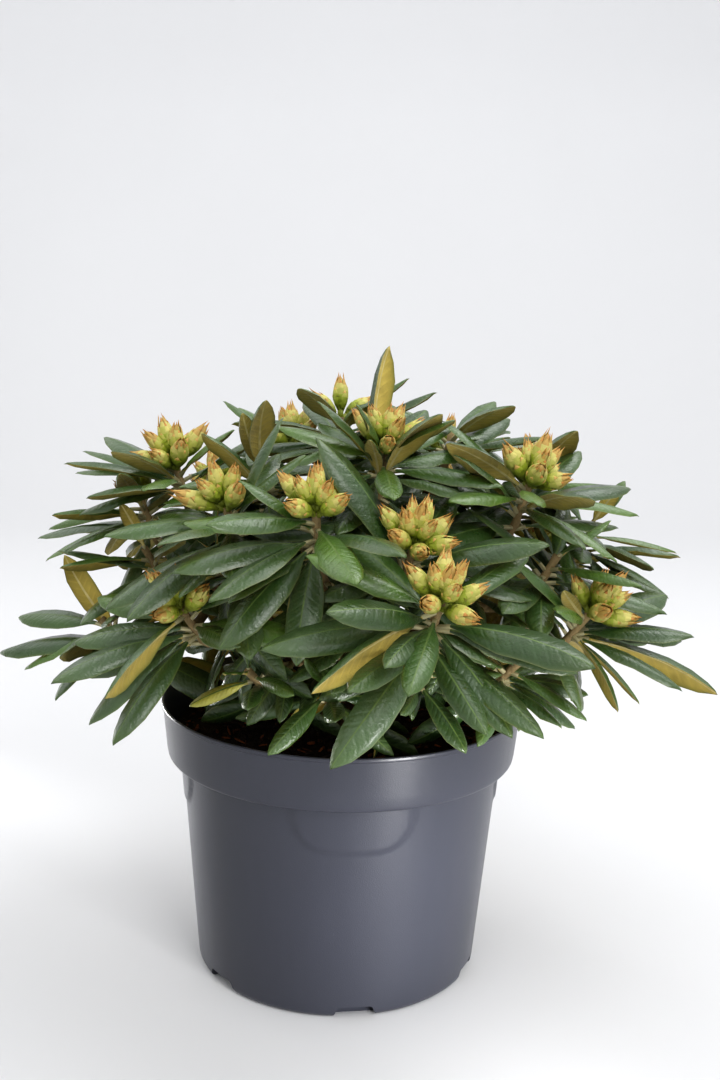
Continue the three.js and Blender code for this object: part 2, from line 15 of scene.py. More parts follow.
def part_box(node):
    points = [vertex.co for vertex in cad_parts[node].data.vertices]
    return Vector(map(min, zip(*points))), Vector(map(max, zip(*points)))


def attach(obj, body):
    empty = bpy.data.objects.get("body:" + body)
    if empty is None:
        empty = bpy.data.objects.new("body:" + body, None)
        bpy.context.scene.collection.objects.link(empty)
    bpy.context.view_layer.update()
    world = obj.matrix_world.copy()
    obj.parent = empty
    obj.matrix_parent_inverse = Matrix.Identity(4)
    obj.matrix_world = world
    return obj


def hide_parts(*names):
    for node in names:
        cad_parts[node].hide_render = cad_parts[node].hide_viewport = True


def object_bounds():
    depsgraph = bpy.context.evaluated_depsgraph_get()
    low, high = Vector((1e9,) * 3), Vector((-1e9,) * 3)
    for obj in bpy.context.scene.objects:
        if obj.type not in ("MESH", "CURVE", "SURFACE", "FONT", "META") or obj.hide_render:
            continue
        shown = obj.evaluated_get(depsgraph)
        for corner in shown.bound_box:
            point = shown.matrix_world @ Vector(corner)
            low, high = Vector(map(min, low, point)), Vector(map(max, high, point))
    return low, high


bl_info = {
    "name": "Potted Rhododendron",
    "version": (1, 0, 0),
    "blender": (4, 5, 0),
    "location": "View3D > Sidebar > Rhododendron",
    "description": "Grows a rhododendron in its nursery pot and sets it on a plain stage",
    "category": "Object",
}

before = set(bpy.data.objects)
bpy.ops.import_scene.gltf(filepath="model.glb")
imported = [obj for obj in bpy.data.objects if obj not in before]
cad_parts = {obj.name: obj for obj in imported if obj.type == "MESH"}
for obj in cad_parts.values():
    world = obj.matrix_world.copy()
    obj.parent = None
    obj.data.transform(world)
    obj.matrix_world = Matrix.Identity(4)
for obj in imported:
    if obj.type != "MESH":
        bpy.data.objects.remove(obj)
CAD_LOW, CAD_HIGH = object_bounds()
POT_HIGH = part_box("pot")[1]
SOIL_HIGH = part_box("soil")[1]
MM = 0.001
UP = Vector((0, 0, 1))

# ---------------------------------------------------------------- how the plant grows

# The plan of the plant is in millimetres and degrees.
TRUNK_TOP = 252
TRUNK_FLARE_RADIUS = 21
TRUNK_RADIUS = 14
TRUNK_TOP_RADIUS = 11.5
TRUNK_LEAN = 5
BOUGH_ROOT_RADIUS = 6.5
BOUGH_TIP_RADIUS = 5.2
BOUGH_RISE = 0.62  # share of a bough's climb that is made in its outer half
BOUGH_ELBOW = 0.45  # how far before its tip a bough bends, as a share of its length
STEM_LENGTH = 26  # of a mass, where it takes over from its bough
STEM_GAP = 0.3  # between a bough and the stem of its mass
FORK_FROM, FORK_RANGE = 0.45, 0.5  # where twigs leave the stem, as shares of its length
TWIG_NECK = 30  # straight length below the tip that carries the leaves
TWIG_ELBOW = 0.4  # how far before its neck a twig bends, as a share of the way from its fork
SPRIG_NECK = 4
SPRIG_SAG = 0.12  # how far the elbow of a sprig hangs, as a share of its length
SPRIG_TURN_STEP = 47
SPRIG_SEED = 2000
STEM_GIRTH = (4.6, 4.2)  # radii that leaves keep clear of, from the foot up
TWIG_GIRTH = (4.2, 4.1, 3.9, 3.8)
# How the oldest and the youngest leaf of a whorl grow, and the erect ones in its heart: opening from
# the axis, foot below the tip, size, how far a leaf curls back, and how much it hangs.
LEAF_SPREAD = {
    "oldest": {"open": 106, "below": 28, "size": 1.0, "recurve": 38, "sag": 0.15},
    "youngest": {"open": 72, "below": 10, "size": 0.84, "recurve": 26, "sag": 0},
    "erect": {"open": 26, "below": 3, "size": 0.5, "recurve": 12, "sag": 0},
}
ERECT_COUNT = 2  # leaves that stand up in the heart of a shoot without buds
WHORL_STEP = 137.5  # round the axis from one leaf to the next
WHORL_REACH = 14  # leaves with their feet nearer than this are in one whorl
LEAF_SPACING = 24  # least angle between two leaves of one whorl
LEAF_LOWEST = 212  # height that no leaf of the plan hangs below
SOIL_GAP = 4  # between the peat and the lowest leaf tips over it
RIM_INSET = 20  # how far inside the pot's rim a tip counts as over the peat
REACH_INSET = 6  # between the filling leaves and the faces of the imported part's box
CLEARANCE = 0.6  # between a leaf of the plan and its neighbours
UPTURN = 0.1  # how much a leaf's face turns from its shoot's axis to the sky
LEAF_TURN_RANGE, LEAF_OPEN_RANGE, LEAF_ROLL_RANGE = 16, 12, 24
LEAF_SIZE_FROM, LEAF_SIZE_RANGE = 0.92, 0.16
BUD_SPREAD, BUD_SPREAD_RANGE = 46, 14  # lean of the outer buds of a cluster
BUD_STAGGER = 0.9  # each bud of a cluster sits this much lower than the last
BUD_SIZE_FROM, BUD_SIZE_RANGE = 0.85, 0.25
BUD_LENGTH, BUD_RADIUS = 36, 6.4  # that leaves keep clear of
INNER_BUDS = (3, 24, 0.82)  # of a full cluster: how many, their lean, their size
INNER_BUD_TURN, INNER_BUD_LEAN_RANGE, INNER_BUD_SIZE_RANGE = 30, 8, 0.12
FULL_CLUSTER = 4  # least buds of a cluster that has inner ones
AXIS_LOW = (265, 45)  # height of a shoot's tip, and the climb of its axis there
AXIS_HIGH = (430, 80)
# Turns and openings by which a leaf is moved until it finds room.
TRIES = ((0, 0), (9, 6), (-9, 6), (0, -12), (14, -10), (-14, -10), (20, 10), (-20, 10), (0, 20))

# Each bough ends in one mass: its name, azimuth, root height and tip (reach, height). Its shoots are
# the place of the tip (azimuth, reach, height), leaves, buds, turn, size, and set leaves, which come
# before those of the spiral: azimuth and pitch of the line to the tip, size, and a roll if it has one.
MASSES = (
    ("front", 10, 216, (74, 268), (
        ((21, 176, 333), 10, 6, 0, 1.0, (
            (-51, -43, 1.08), (46, -38, 0.86), (-71, -3, 1.12),
            (59, -4, 1.09), (-43, 14, 1.0), (50, 18, 1.0),
        )),
        ((22, 124, 362), 9, 7, 20, 0.95, (
            (-83, 42, 1.1), (-62, -10, 0.68),
            (56, 20, 1.0), (-112, 48, 1.05),
        )),
        ((-10, 122, 384), 10, 5, 60, 0.95, (
            (-65, -6, 1.0), (-54, -27, 1.0), (-24, -48, 0.86),
            (4, -46, 0.74), (-69, 36, 0.66), (-60, 66, 0.78),
        )),
        ((30, 122, 270), 6, 0, 10, 0.66, ()),
        ((-6, 112, 258), 6, 0, 50, 0.66, ()),
    )),
    ("front_left", -48, 238, (72, 284), (
        ((-51, 150, 307), 10, 5, 30, 0.95, (
            (-61, -11, 1.06), (-32, -46, 1.0), (-49, -32, 0.96),
            (-76, -40, 0.9), (29, 5, 0.75),
        )),
        ((-49, 115, 378), 9, 4, 0, 0.95, (
            (-62, -21, 1.0), (-56, -33, 1.05),
            (30, 68, 0.9), (-30, 62, 0.5),
        )),
        ((-72, 104, 338), 7, 0, 40, 0.85, ()),
        ((-36, 116, 262), 6, 0, 25, 0.62, ()),
    )),
    ("left", -100, 214, (84, 280), (
        ((-90, 191, 273), 9, 0, 10, 0.9, ((-109, -10, 1.12), (-117, -19, 0.9), (-94, 56, 0.76, -75))),
        ((-102, 140, 394), 10, 7, 40, 0.9, ((-112, 14, 0.9), (-44, 4, 0.88), (-66, -10, 0.8))),
        ((-108, 177, 360), 9, 3, 0, 0.95, ((-94, -6, 0.92), (-40, -4, 0.84), (-118, -20, 1.0))),
        ((-100, 164, 325), 9, 0, 70, 0.9, ()),
    )),
    ("front_right", 62, 238, (78, 288), (
        ((66, 195, 308), 10, 5, 20, 0.95, (
            (60, 72, 0.92), (58, -15, 0.86), (76, -15, 1.1, -46),
            (36, -42, 0.64, -47), (110, -8, 0.9), (-83, 33, 0.76),
        )),
        ((73, 141, 396), 10, 6, 50, 0.92, (
            (-80, 22, 0.74), (-52, 36, 0.8),
            (135, 29, 0.8), (24, -8, 0.84),
        )),
        ((69, 166, 345), 9, 0, 0, 0.9, ()),
        ((53, 158, 274), 9, 0, 40, 0.7, ((46, -16, 0.6), (22, -16, 0.55))),
    )),
    ("right", 105, 214, (86, 276), (
        ((104, 205, 350), 9, 0, 15, 0.9, ((70, 4, 0.8), (52, -10, 0.8), (40, -28, 0.84))),
        ((96, 196, 278), 9, 0, 45, 0.85, ()),
        ((110, 158, 388), 9, 4, 0, 0.88, ()),
        ((118, 190, 312), 9, 3, 70, 0.92, ()),
    )),
    ("crown", 150, 254, (16, 322), (
        ((31, 52, 418), 10, 4, 0, 0.9, (
            (172, 73, 1.0, -125), (35, 40, 0.86), (-4, 46, 0.5), (-40, 48, 0.8),
        )),
        ((-173, 60, 430), 9, 3, 30, 0.88, ()),
        ((-90, 69, 398), 9, 0, 10, 0.88, ()),
        ((116, 91, 423), 9, 0, 50, 0.88, ((136, 22, 0.85), (60, 18, 0.85))),
    )),
    ("back_left", -145, 238, (74, 282), (
        ((-136, 190, 298), 10, 5, 0, 0.98, ()),
        ((-134, 150, 362), 9, 5, 35, 0.95, ()),
        ((-158, 126, 400), 9, 4, 10, 0.92, ()),
        ((-160, 188, 330), 9, 0, 55, 0.92, ()),
    )),
    ("back", 182, 214, (82, 272), (
        ((184, 196, 282), 9, 3, 20, 0.95, ()),
        ((168, 182, 330), 10, 5, 0, 0.98, ()),
        ((176, 138, 376), 9, 4, 45, 0.94, ()),
        ((182, 118, 272), 6, 0, 15, 0.66, ()),
    )),
    ("back_right", 143, 238, (76, 284), (
        ((140, 194, 292), 10, 4, 10, 0.98, ()),
        ((146, 156, 352), 9, 5, 50, 0.95, ()),
        ((138, 120, 402), 9, 3, 30, 0.92, ()),
        ((124, 150, 346), 8, 0, 0, 0.88, ()),
    )),
)

# Leaves that turn their felt outwards, by mass and shoot: azimuth, pitch, size and roll.
TURNED_LEAVES = {
    (0, 0): ((-32, -23, 1.0, 90), (36, 29, 0.95, -28)),
    (1, 0): ((-27, -35, 0.9, 50), (-100, 50, 0.5, -40)),
    (1, 1): ((41, 43, 0.95, -28), (20, 60, 0.72, -12)),
    (2, 1): ((-30, 62, 0.55, -20), (-80, 40, 0.6, 30)),
    (3, 0): ((-36, 45, 0.48, 70), (9, -23, 0.85, -80)),
    (3, 1): ((-56, 27, 0.82, 45), (-20, 55, 0.6, 0)),
    (5, 0): ((-9, 52, 0.56, -32),),
    (5, 2): ((-30, 55, 0.6, 20),),
}
TURNED_FORM = {"below": 7, "recurve": 24, "sag": 0, "age": 0.8, "filling": True}
HEART_LEAVES = ((0, 40, 0.55), (150, 50, 0.62))  # turn, opening, size of the young ones by the buds
HEART_FORM = {"below": 5, "recurve": 14, "sag": 0, "age": 0.95, "filling": True}
# Leaves that close the dome where the plan leaves it open: azimuth, pitch and size.
DOME_LEAVES = {
    (2, 0): ((-113, -18, 0.93), (-114, -24, 0.88)),
    (2, 1): ((-116, 8, 0.85), (-127, 2, 0.76), (-33, 12, 0.76), (-104, 24, 0.8), (60, 42, 0.85)),
    (2, 2): ((-106, -15, 0.85), (-118, -9, 0.8), (-36, 3, 0.8)),
    (4, 2): ((17, 26, 0.83),),
    (5, 0): ((26, 38, 0.74), (150, 28, 0.74), (132, 23, 0.7)),
    (5, 1): ((155, 12, 0.76), (23, 24, 0.76), (164, 24, 0.56), (-153, 8, 0.74), (80, 24, 0.85)),
    (5, 2): (
        (6, 47, 0.83), (-164, 32, 0.8), (-100, 30, 0.8),
        (-170, 50, 0.78), (-60, 45, 0.75), (-100, 52, 0.7),
    ),
    (5, 3): (
        (32, 25, 0.83), (145, 24, 0.76), (-158, 17, 0.8),
        (24, 28, 0.76), (-29, 25, 0.75), (-128, 20, 0.8),
    ),
    (6, 1): ((-170, 45, 0.85), (150, 42, 0.85), (100, 50, 0.8)),
    (6, 2): ((-154, 32, 0.8), (-21, 40, 0.8), (-100, 50, 0.8)),
    (7, 2): ((139, 51, 0.8), (100, 50, 0.85), (60, 56, 0.8)),
    (8, 2): ((-150, 30, 0.85), (-169, 30, 0.8), (-38, 37, 0.78), (-165, 46, 0.85), (-120, 48, 0.8)),
}
DOME_FORM = {"recurve": 30, "sag": 0, "age": 0.6, "filling": True}
DOME_BELOW, DOME_STEP = 9, 4  # below the tip, for the first of them and from one to the next
OPEN_HEARTS = {(2, 0), (5, 3)}  # shoots without buds whose heart bears no erect leaves
FADING_LEAVES = {(1, 3): 3, (6, 0): 8, (7, 1): 6, (8, 1): 1}  # the pale leaf of a shoot, by order of growth
# Those are filling leaves, and so are the older ones below each whorl and all leaves of the sprigs.
FILLING_LOWEST = 248  # height that no filling leaf outside the pot hangs below
FILLING_SPACING = 15
FILLING_RECURVE = (20, 46)
FILLING_TURN, FILLING_TURN_RANGE, FILLING_ROLL_RANGE = 60, 20, 40
FILLING_SIZE_FROM, FILLING_SIZE_RANGE = 0.82, 0.3
FILLING_AGE_RANGE = 0.3
FILLING_LIFT = 2.5  # from the first foot of a whorl of filling leaves to the last
SPRIG_BELOW = 3
SMALL_SHOOT_GAIN = 0.08  # so that the older leaves of a small shoot are a little larger than its own
LOWER_WHORLS = (  # below the tip, leaves, size, lowest and highest pitch of their lines
    (24, 5, 0.9, (-20, 8)),
    (38, 6, 0.92, (-42, -6)),
    (58, 6, 0.84, (-52, -12)),
)
# Sprigs: the mass they leave, share of its bough, azimuth, climb, length, leaves, size, pitches.
SPRIGS = (
    (0, 0.45, -30, 25, 46, 7, 0.56, (-58, -10)),
    (0, 0.8, 45, 18, 44, 7, 0.6, (-50, 0)),
    (0, 0.95, 0, 40, 40, 7, 0.66, (-45, 5)),
    (0, 0.6, -60, 50, 52, 7, 0.7, (-40, 10)),
    (1, 0.35, -20, 8, 58, 8, 0.5, (-70, -15)),
    (1, 0.6, -75, 4, 56, 8, 0.5, (-70, -15)),
    (1, 0.75, -30, 6, 44, 8, 0.52, (-70, -20)),
    (1, 0.95, -60, 30, 40, 7, 0.66, (-45, 0)),
    (2, 0.5, -70, 12, 54, 8, 0.54, (-60, -10)),
    (2, 0.75, -125, 10, 50, 7, 0.58, (-50, -5)),
    (2, 0.9, -95, 45, 46, 7, 0.7, (-35, 5)),
    (3, 0.35, 30, 10, 52, 8, 0.54, (-60, -10)),
    (3, 0.6, 90, 6, 46, 8, 0.52, (-60, -10)),
    (3, 0.8, 40, 12, 44, 8, 0.56, (-60, -10)),
    (3, 0.95, 65, 45, 40, 7, 0.7, (-35, 5)),
    (4, 0.5, 80, 8, 56, 8, 0.54, (-60, -10)),
    (4, 0.8, 130, 12, 46, 7, 0.58, (-50, -5)),
    (4, 0.95, 95, 45, 40, 7, 0.7, (-35, 5)),
    (5, 0.5, -40, 30, 54, 8, 0.72, (-40, 15)),
    (5, 0.7, 20, 28, 56, 8, 0.72, (-40, 15)),
    (5, 0.9, 80, 30, 50, 8, 0.72, (-40, 15)),
    (5, 0.8, -110, 30, 50, 8, 0.72, (-40, 15)),
    (5, 0.6, 160, 30, 50, 8, 0.72, (-40, 15)),
    (6, 0.5, -120, 8, 50, 8, 0.54, (-60, -10)),
    (6, 0.8, -170, 12, 46, 7, 0.58, (-50, -5)),
    (6, 0.95, -140, 45, 40, 7, 0.7, (-35, 5)),
    (7, 0.5, 160, 8, 50, 8, 0.54, (-60, -10)),
    (7, 0.8, -160, 12, 46, 7, 0.58, (-50, -5)),
    (7, 0.95, 180, 45, 40, 7, 0.7, (-35, 5)),
    (8, 0.5, 120, 8, 50, 8, 0.54, (-60, -10)),
    (8, 0.8, 165, 12, 46, 7, 0.58, (-50, -5)),
    (8, 0.95, 140, 45, 40, 7, 0.7, (-35, 5)),
)


def draws(seed):
    """Repeatable draws between 0 and 1, by the minimal standard generator."""
    modulus, multiplier = 2147483647, 16807
    state = seed * 7919 + 17

    def draw():
        nonlocal state
        state = (state * multiplier) % modulus
        return state / modulus

    return draw


def lerp(low, high, along):
    return low + (high - low) * along


def polar(azimuth, reach, height):
    turn = math.radians(azimuth)
    return Vector((reach * math.sin(turn), -reach * math.cos(turn), height))


def direction(azimuth, elevation):
    rise = math.radians(elevation)
    return polar(azimuth, math.cos(rise), math.sin(rise))


def cross_axes(axis):
    """Two unit vectors square to an axis, the first as level as it can be."""
    level = UP.cross(axis).normalized()
    return level, axis.cross(level)


def turned(vector, axis, angle):
    return Matrix.Rotation(angle, 3, axis) @ vector


def bezier(root, elbow, tip, along):
    return root * (1 - along) ** 2 + elbow * (2 * along * (1 - along)) + tip * along**2


def trunk_axis(height):
    low = SOIL_HIGH.z / MM
    return Vector((TRUNK_LEAN * (height - low) / (TRUNK_TOP - low), 0, height)) * MM


class Shoot:
    """One shoot of a mass: its tip, axis and twig, and the leaves and buds that it bears."""

    def __init__(self, mass, number, row):
        self.mass = mass
        self.place, self.leaves, self.buds, self.turn, self.size, self.set_leaves = row
        azimuth, reach, height = self.place
        climb = (height - AXIS_LOW[0]) / (AXIS_HIGH[0] - AXIS_LOW[0])
        self.axis = direction(azimuth, lerp(AXIS_LOW[1], AXIS_HIGH[1], climb))
        self.tip = polar(azimuth, reach, height) * MM
        self.key = (mass.number, number)
        self.seed = 100 * (mass.number + 1) + number
        fork = mass.stem[0].lerp(mass.stem[1], FORK_FROM + FORK_RANGE * draws(self.seed)())
        neck = self.tip - self.axis * TWIG_NECK * MM
        elbow = neck - self.axis * TWIG_ELBOW * (neck - fork).length
        self.curve = (fork, elbow, neck)
        self.grown = []

    def twig_points(self, steps):
        return [bezier(*self.curve, i / steps) for i in range(steps + 1)] + [self.tip]

    def place_below(self, distance):
        """A point of the twig at a distance below its tip, and the way the twig runs there."""
        points = self.twig_points(12)
        for upper, lower in zip(points[::-1], points[-2::-1]):
            step = upper - lower
            if distance <= step.length:
                return upper - step.normalized() * distance, step.normalized()
            distance -= step.length
        return points[0], (points[1] - points[0]).normalized()


class Sprig(Shoot):
    """A weak shoot without buds that leaves a bough inside the plant."""

    def __init__(self, mass, number, along, azimuth, climb, length, leaves, size, pitches):
        fork = bezier(mass.root, mass.elbow, mass.point, along)
        self.mass, self.leaves, self.size, self.pitches = mass, leaves, size, pitches
        self.turn, self.buds, self.key = SPRIG_TURN_STEP * number, 0, None
        self.seed = SPRIG_SEED + number
        self.axis = direction(azimuth, climb)
        self.tip = fork + self.axis * length * MM
        sag = UP * SPRIG_SAG * length * MM
        self.curve = (fork, fork.lerp(self.tip, 0.5) - sag, self.tip - self.axis * SPRIG_NECK * MM)
        self.grown = []


class Mass:
    """One bough and the mass of foliage at its end."""

    def __init__(self, number, row):
        self.name, self.azimuth, root, (reach, height), shoots = row
        self.number = number
        self.root = trunk_axis(root)
        self.point = polar(self.azimuth, reach, height) * MM
        heading = self.point - self.root
        length = heading.length
        heading.z *= 2 * BOUGH_RISE
        self.heading = heading.normalized()
        self.elbow = self.point - self.heading * BOUGH_ELBOW * length
        self.stem = (self.point, self.point + self.heading * STEM_LENGTH * MM)
        self.shoots = [Shoot(self, i, shoot) for i, shoot in enumerate(shoots)]


class Space:
    """What is already grown, and who owns it. A new leaf is tried against it before it is kept."""

    most = 4096  # shapes that it can hold

    def __init__(self):
        self.trees = []
        self.owners = []
        self.low = np.zeros((self.most, 3))
        self.high = np.zeros((self.most, 3))

    def keep(self, points, faces, owner):
        at = len(self.trees)
        array = np.array(points)
        self.low[at], self.high[at] = array.min(0), array.max(0)
        self.trees.append(BVHTree.FromPolygons(points, faces))
        self.owners.append(owner)

    def is_clear(self, points, faces, owner):
        array = np.array(points)
        low, high = array.min(0), array.max(0)
        count = len(self.trees)
        near = (self.low[:count] <= high).all(1) & (self.high[:count] >= low).all(1)
        tree = BVHTree.FromPolygons(points, faces)
        return not any(
            self.owners[i] is not owner and self.trees[i].overlap(tree) for i in np.flatnonzero(near)
        )


def loft_faces(rings, sides, tip=False):
    """Faces of a skin through rings of points, closed by a cap at its foot and a cap or tip on top."""
    faces = [tuple(range(sides - 1, -1, -1))]
    for first in range(0, (rings - 1) * sides, sides):
        for side in range(sides):
            a, b = first + side, first + (side + 1) % sides
            faces.append((a, b, b + sides, a + sides))
    last = (rings - 1) * sides
    if tip:
        faces += [(last + side, last + (side + 1) % sides, last + sides) for side in range(sides)]
    else:
        faces.append(tuple(range(last, last + sides)))
    return faces


def tube_points(points, radii, sides):
    """Rings round a row of points, carried along without twist."""
    last = len(points) - 1
    rings = []
    across = None
    for i, centre in enumerate(points):
        tangent = (points[min(i + 1, last)] - points[max(i - 1, 0)]).normalized()
        if across is None:
            across = cross_axes(tangent)[0]
        across = (across - tangent * across.dot(tangent)).normalized()
        along = tangent.cross(across)
        for side in range(sides):
            turn = 2 * math.pi * side / sides
            rings.append(centre + (across * math.cos(turn) + along * math.sin(turn)) * radii[i])
    return rings


def leaf_outline(along):
    """Half the width of a leaf at a share of its length, as a share of half its full width."""
    foot, widest = 0.14, 0.6
    if along <= foot:
        return 0.0
    if along < widest:
        return 1 - ((widest - along) / (widest - foot)) ** 1.9
    return 1 - ((along - widest) / (1 - widest)) ** 2.5


SOLID_STATIONS = (0, 0.34, 0.76, 1)
SOLID_STALK_WIDTH = 1.4
SOLID_RIDGE, THIN_RIDGE, THIN_WIDTH = 2.2, 1.0, 0.8  # heights of the ridge, and a share of the width


class Leaf:
    """A leaf as an arc that curls back from its upper face."""

    def __init__(self, shoot, form, turn, opening, foot=None, axis=None):
        axis = axis or shoot.axis
        across, along = cross_axes(axis)
        around, away = math.radians(turn), math.radians(opening)
        level = across * math.cos(around) + along * math.sin(around)
        line = axis * math.cos(away) + level * math.sin(away)
        self.line = (line - UP * form["sag"]).normalized()
        face = axis + UP * UPTURN
        face = (face - self.line * face.dot(self.line)).normalized()
        face = turned(face, self.line, math.radians(form.get("roll", 0)))
        half = math.radians(form["recurve"]) / 2
        self.foot = foot or shoot.tip - axis * form["below"] * MM
        self.heading = self.line * math.cos(half) + face * math.sin(half)
        self.upper = face * math.cos(half) - self.line * math.sin(half)
        self.bend = math.radians(form["recurve"])
        self.age = form["age"]
        settings = bpy.context.scene.rhododendron_leaves
        self.length = settings.length * form["size"]
        self.width = settings.width * form["size"]

    def solid(self, extra, thin):
        """The plain prism that stands for the leaf while others are tried against it."""
        narrowing, ridge_height = (THIN_WIDTH, THIN_RIDGE) if thin else (1, SOLID_RIDGE)
        side = self.upper.cross(self.heading)
        points = []
        for along in SOLID_STATIONS:
            turn = self.bend * along
            centre = (
                self.foot
                + self.heading * (self.length * math.sin(turn) / self.bend)
                - self.upper * (self.length * (1 - math.cos(turn)) / self.bend)
            )
            upper = self.upper * math.cos(turn) + self.heading * math.sin(turn)
            outline = leaf_outline(along)
            half = max(outline * self.width, SOLID_STALK_WIDTH * MM) / 2 * narrowing + extra
            ridge = ridge_height * MM * min(1, 0.6 + outline) + extra
            if along == 1:
                half = ridge = max(extra, 0.01 * MM)
            points += [centre + side * half - upper * extra, centre + upper * ridge]
            points.append(centre - side * half - upper * extra)
        return points, loft_faces(len(SOLID_STATIONS), 3)


class Plant:
    """The whole plan: masses, shoots, leaves and buds, each kept clear of the rest."""

    def __init__(self):
        self.masses = [Mass(i, row) for i, row in enumerate(MASSES)]
        self.space = Space()
        self.buds = []
        for name in ("pot", "soil", "trunk", *(f"bough_{mass.name}" for mass in self.masses)):
            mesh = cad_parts[name].data
            points = [vertex.co.copy() for vertex in mesh.vertices]
            self.space.keep(points, [tuple(face.vertices) for face in mesh.polygons], None)
        for mass in self.masses:
            foot = mass.stem[0] + mass.heading * STEM_GAP * MM
            stem = tube_points([foot, mass.stem[1]], [radius * MM for radius in STEM_GIRTH], 6)
            self.space.keep(stem, loft_faces(2, 6), None)
            for shoot in mass.shoots:
                twig = tube_points(shoot.twig_points(2), [radius * MM for radius in TWIG_GIRTH], 3)
                self.space.keep(twig, loft_faces(len(TWIG_GIRTH), 3), shoot)
                self.grow_buds(shoot)
        self.shoots = [shoot for mass in self.masses for shoot in mass.shoots]
        for shoot in self.shoots:
            self.grow_set_leaves(shoot)
        for shoot in self.shoots:
            self.grow_spiral(shoot)
        for shoot in self.shoots:
            self.grow_turned(shoot)
        self.sprigs = [Sprig(self.masses[row[0]], i, *row[1:]) for i, row in enumerate(SPRIGS)]
        for sprig in self.sprigs:
            self.grow_filling(sprig, SPRIG_BELOW, sprig.leaves, sprig.size, sprig.pitches)
        for below, count, size, pitches in LOWER_WHORLS:
            for shoot in self.shoots:
                share = min(1, shoot.size + SMALL_SHOOT_GAIN)
                self.grow_filling(shoot, below, count, size * share, pitches)

    def grow_buds(self, shoot):
        draw = draws(shoot.seed + 50)
        across, along = cross_axes(shoot.axis)
        for i in range(shoot.buds):
            lean = math.radians(BUD_SPREAD + BUD_SPREAD_RANGE * draw()) if i else 0
            turn = math.radians(shoot.turn + i * 360 / max(shoot.buds - 1, 1))
            level = across * math.cos(turn) + along * math.sin(turn)
            axis = shoot.axis * math.cos(lean) + level * math.sin(lean)
            foot = shoot.tip - shoot.axis * (1 + i * BUD_STAGGER) * MM
            size = BUD_SIZE_FROM + BUD_SIZE_RANGE * draw()
            self.buds.append((foot, axis, size))
            centre = [foot + axis * rise * size * BUD_LENGTH * MM for rise in (0, 0.6, 1)]
            rings = tube_points(centre, [share * size * BUD_RADIUS * MM for share in (0.2, 1, 0.01)], 3)
            self.space.keep(rings, loft_faces(3, 3), None)
        count, lean, size = INNER_BUDS
        for i in range(count if shoot.buds >= FULL_CLUSTER else 0):
            turn = math.radians(shoot.turn + INNER_BUD_TURN + i * 360 / count)
            away = math.radians(lean + INNER_BUD_LEAN_RANGE * draw())
            level = across * math.cos(turn) + along * math.sin(turn)
            axis = shoot.axis * math.cos(away) + level * math.sin(away)
            self.buds.append((shoot.tip + shoot.axis * MM, axis, size + INNER_BUD_SIZE_RANGE * draw()))

    @staticmethod
    def spiral_form(shoot, number):
        """How a leaf of the spiral grows, by its number from the oldest."""
        if number >= shoot.leaves:
            return dict(LEAF_SPREAD["erect"], age=1.0)
        age = number / (shoot.leaves - 1)
        oldest, youngest = LEAF_SPREAD["oldest"], LEAF_SPREAD["youngest"]
        return dict({key: lerp(oldest[key], youngest[key], age) for key in oldest}, age=age)

    def grow_leaf(self, shoot, form, turn, opening, foot=None, axis=None):
        """Grows one leaf at the first try that has room, and none where no try has."""
        filling = form.get("filling", False)
        for turn_by, open_by in TRIES:
            leaf = Leaf(shoot, form, turn + turn_by, opening + open_by, foot, axis)
            tip = leaf.foot + leaf.line * leaf.length
            inside = filling and math.hypot(tip.x, tip.y) < POT_HIGH.x - RIM_INSET * MM
            lowest = (FILLING_LOWEST if filling else LEAF_LOWEST) * MM
            if tip.z < (SOIL_HIGH.z + SOIL_GAP * MM if inside else lowest):
                continue
            if filling and not self.in_box(tip):
                continue
            spacing = math.radians(FILLING_SPACING if filling else LEAF_SPACING)
            near = (other for other in shoot.grown if (other.foot - leaf.foot).length < WHORL_REACH * MM)
            if any(other.line.angle(leaf.line) < spacing for other in near):
                continue
            if self.space.is_clear(*leaf.solid(0 if filling else CLEARANCE * MM, filling), shoot):
                self.space.keep(*leaf.solid(0, filling), leaf if filling else shoot)
                shoot.grown.append(leaf)
                return

    def grow_towards(self, shoot, form, line, foot=None, axis=None):
        """Grows a leaf that is set by the way it points."""
        base = axis or shoot.axis
        across, along = cross_axes(base)
        turn = math.degrees(math.atan2(line.dot(along), line.dot(across)))
        self.grow_leaf(shoot, form, turn, math.degrees(line.angle(base)), foot, axis)

    def grow_turned(self, shoot):
        """Leaves that show their felt, that close the dome, and that stand up by a cluster of buds."""
        for azimuth, pitch, size, roll in TURNED_LEAVES.get(shoot.key, ()):
            form = dict(TURNED_FORM, size=size, roll=roll)
            self.grow_towards(shoot, form, direction(azimuth, pitch))
        for step, (azimuth, pitch, size) in enumerate(DOME_LEAVES.get(shoot.key, ())):
            form = dict(DOME_FORM, size=size, below=DOME_BELOW + DOME_STEP * step)
            self.grow_towards(shoot, form, direction(azimuth, pitch))
        if shoot.buds and shoot.key not in TURNED_LEAVES:
            for turn, opening, size in HEART_LEAVES:
                self.grow_leaf(shoot, dict(HEART_FORM, size=size), shoot.turn + turn, opening)

    @staticmethod
    def in_box(point):
        """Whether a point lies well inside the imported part's box."""
        inset = REACH_INSET * MM
        return all(low + inset < value < high - inset for low, value, high in zip(CAD_LOW, point, CAD_HIGH))

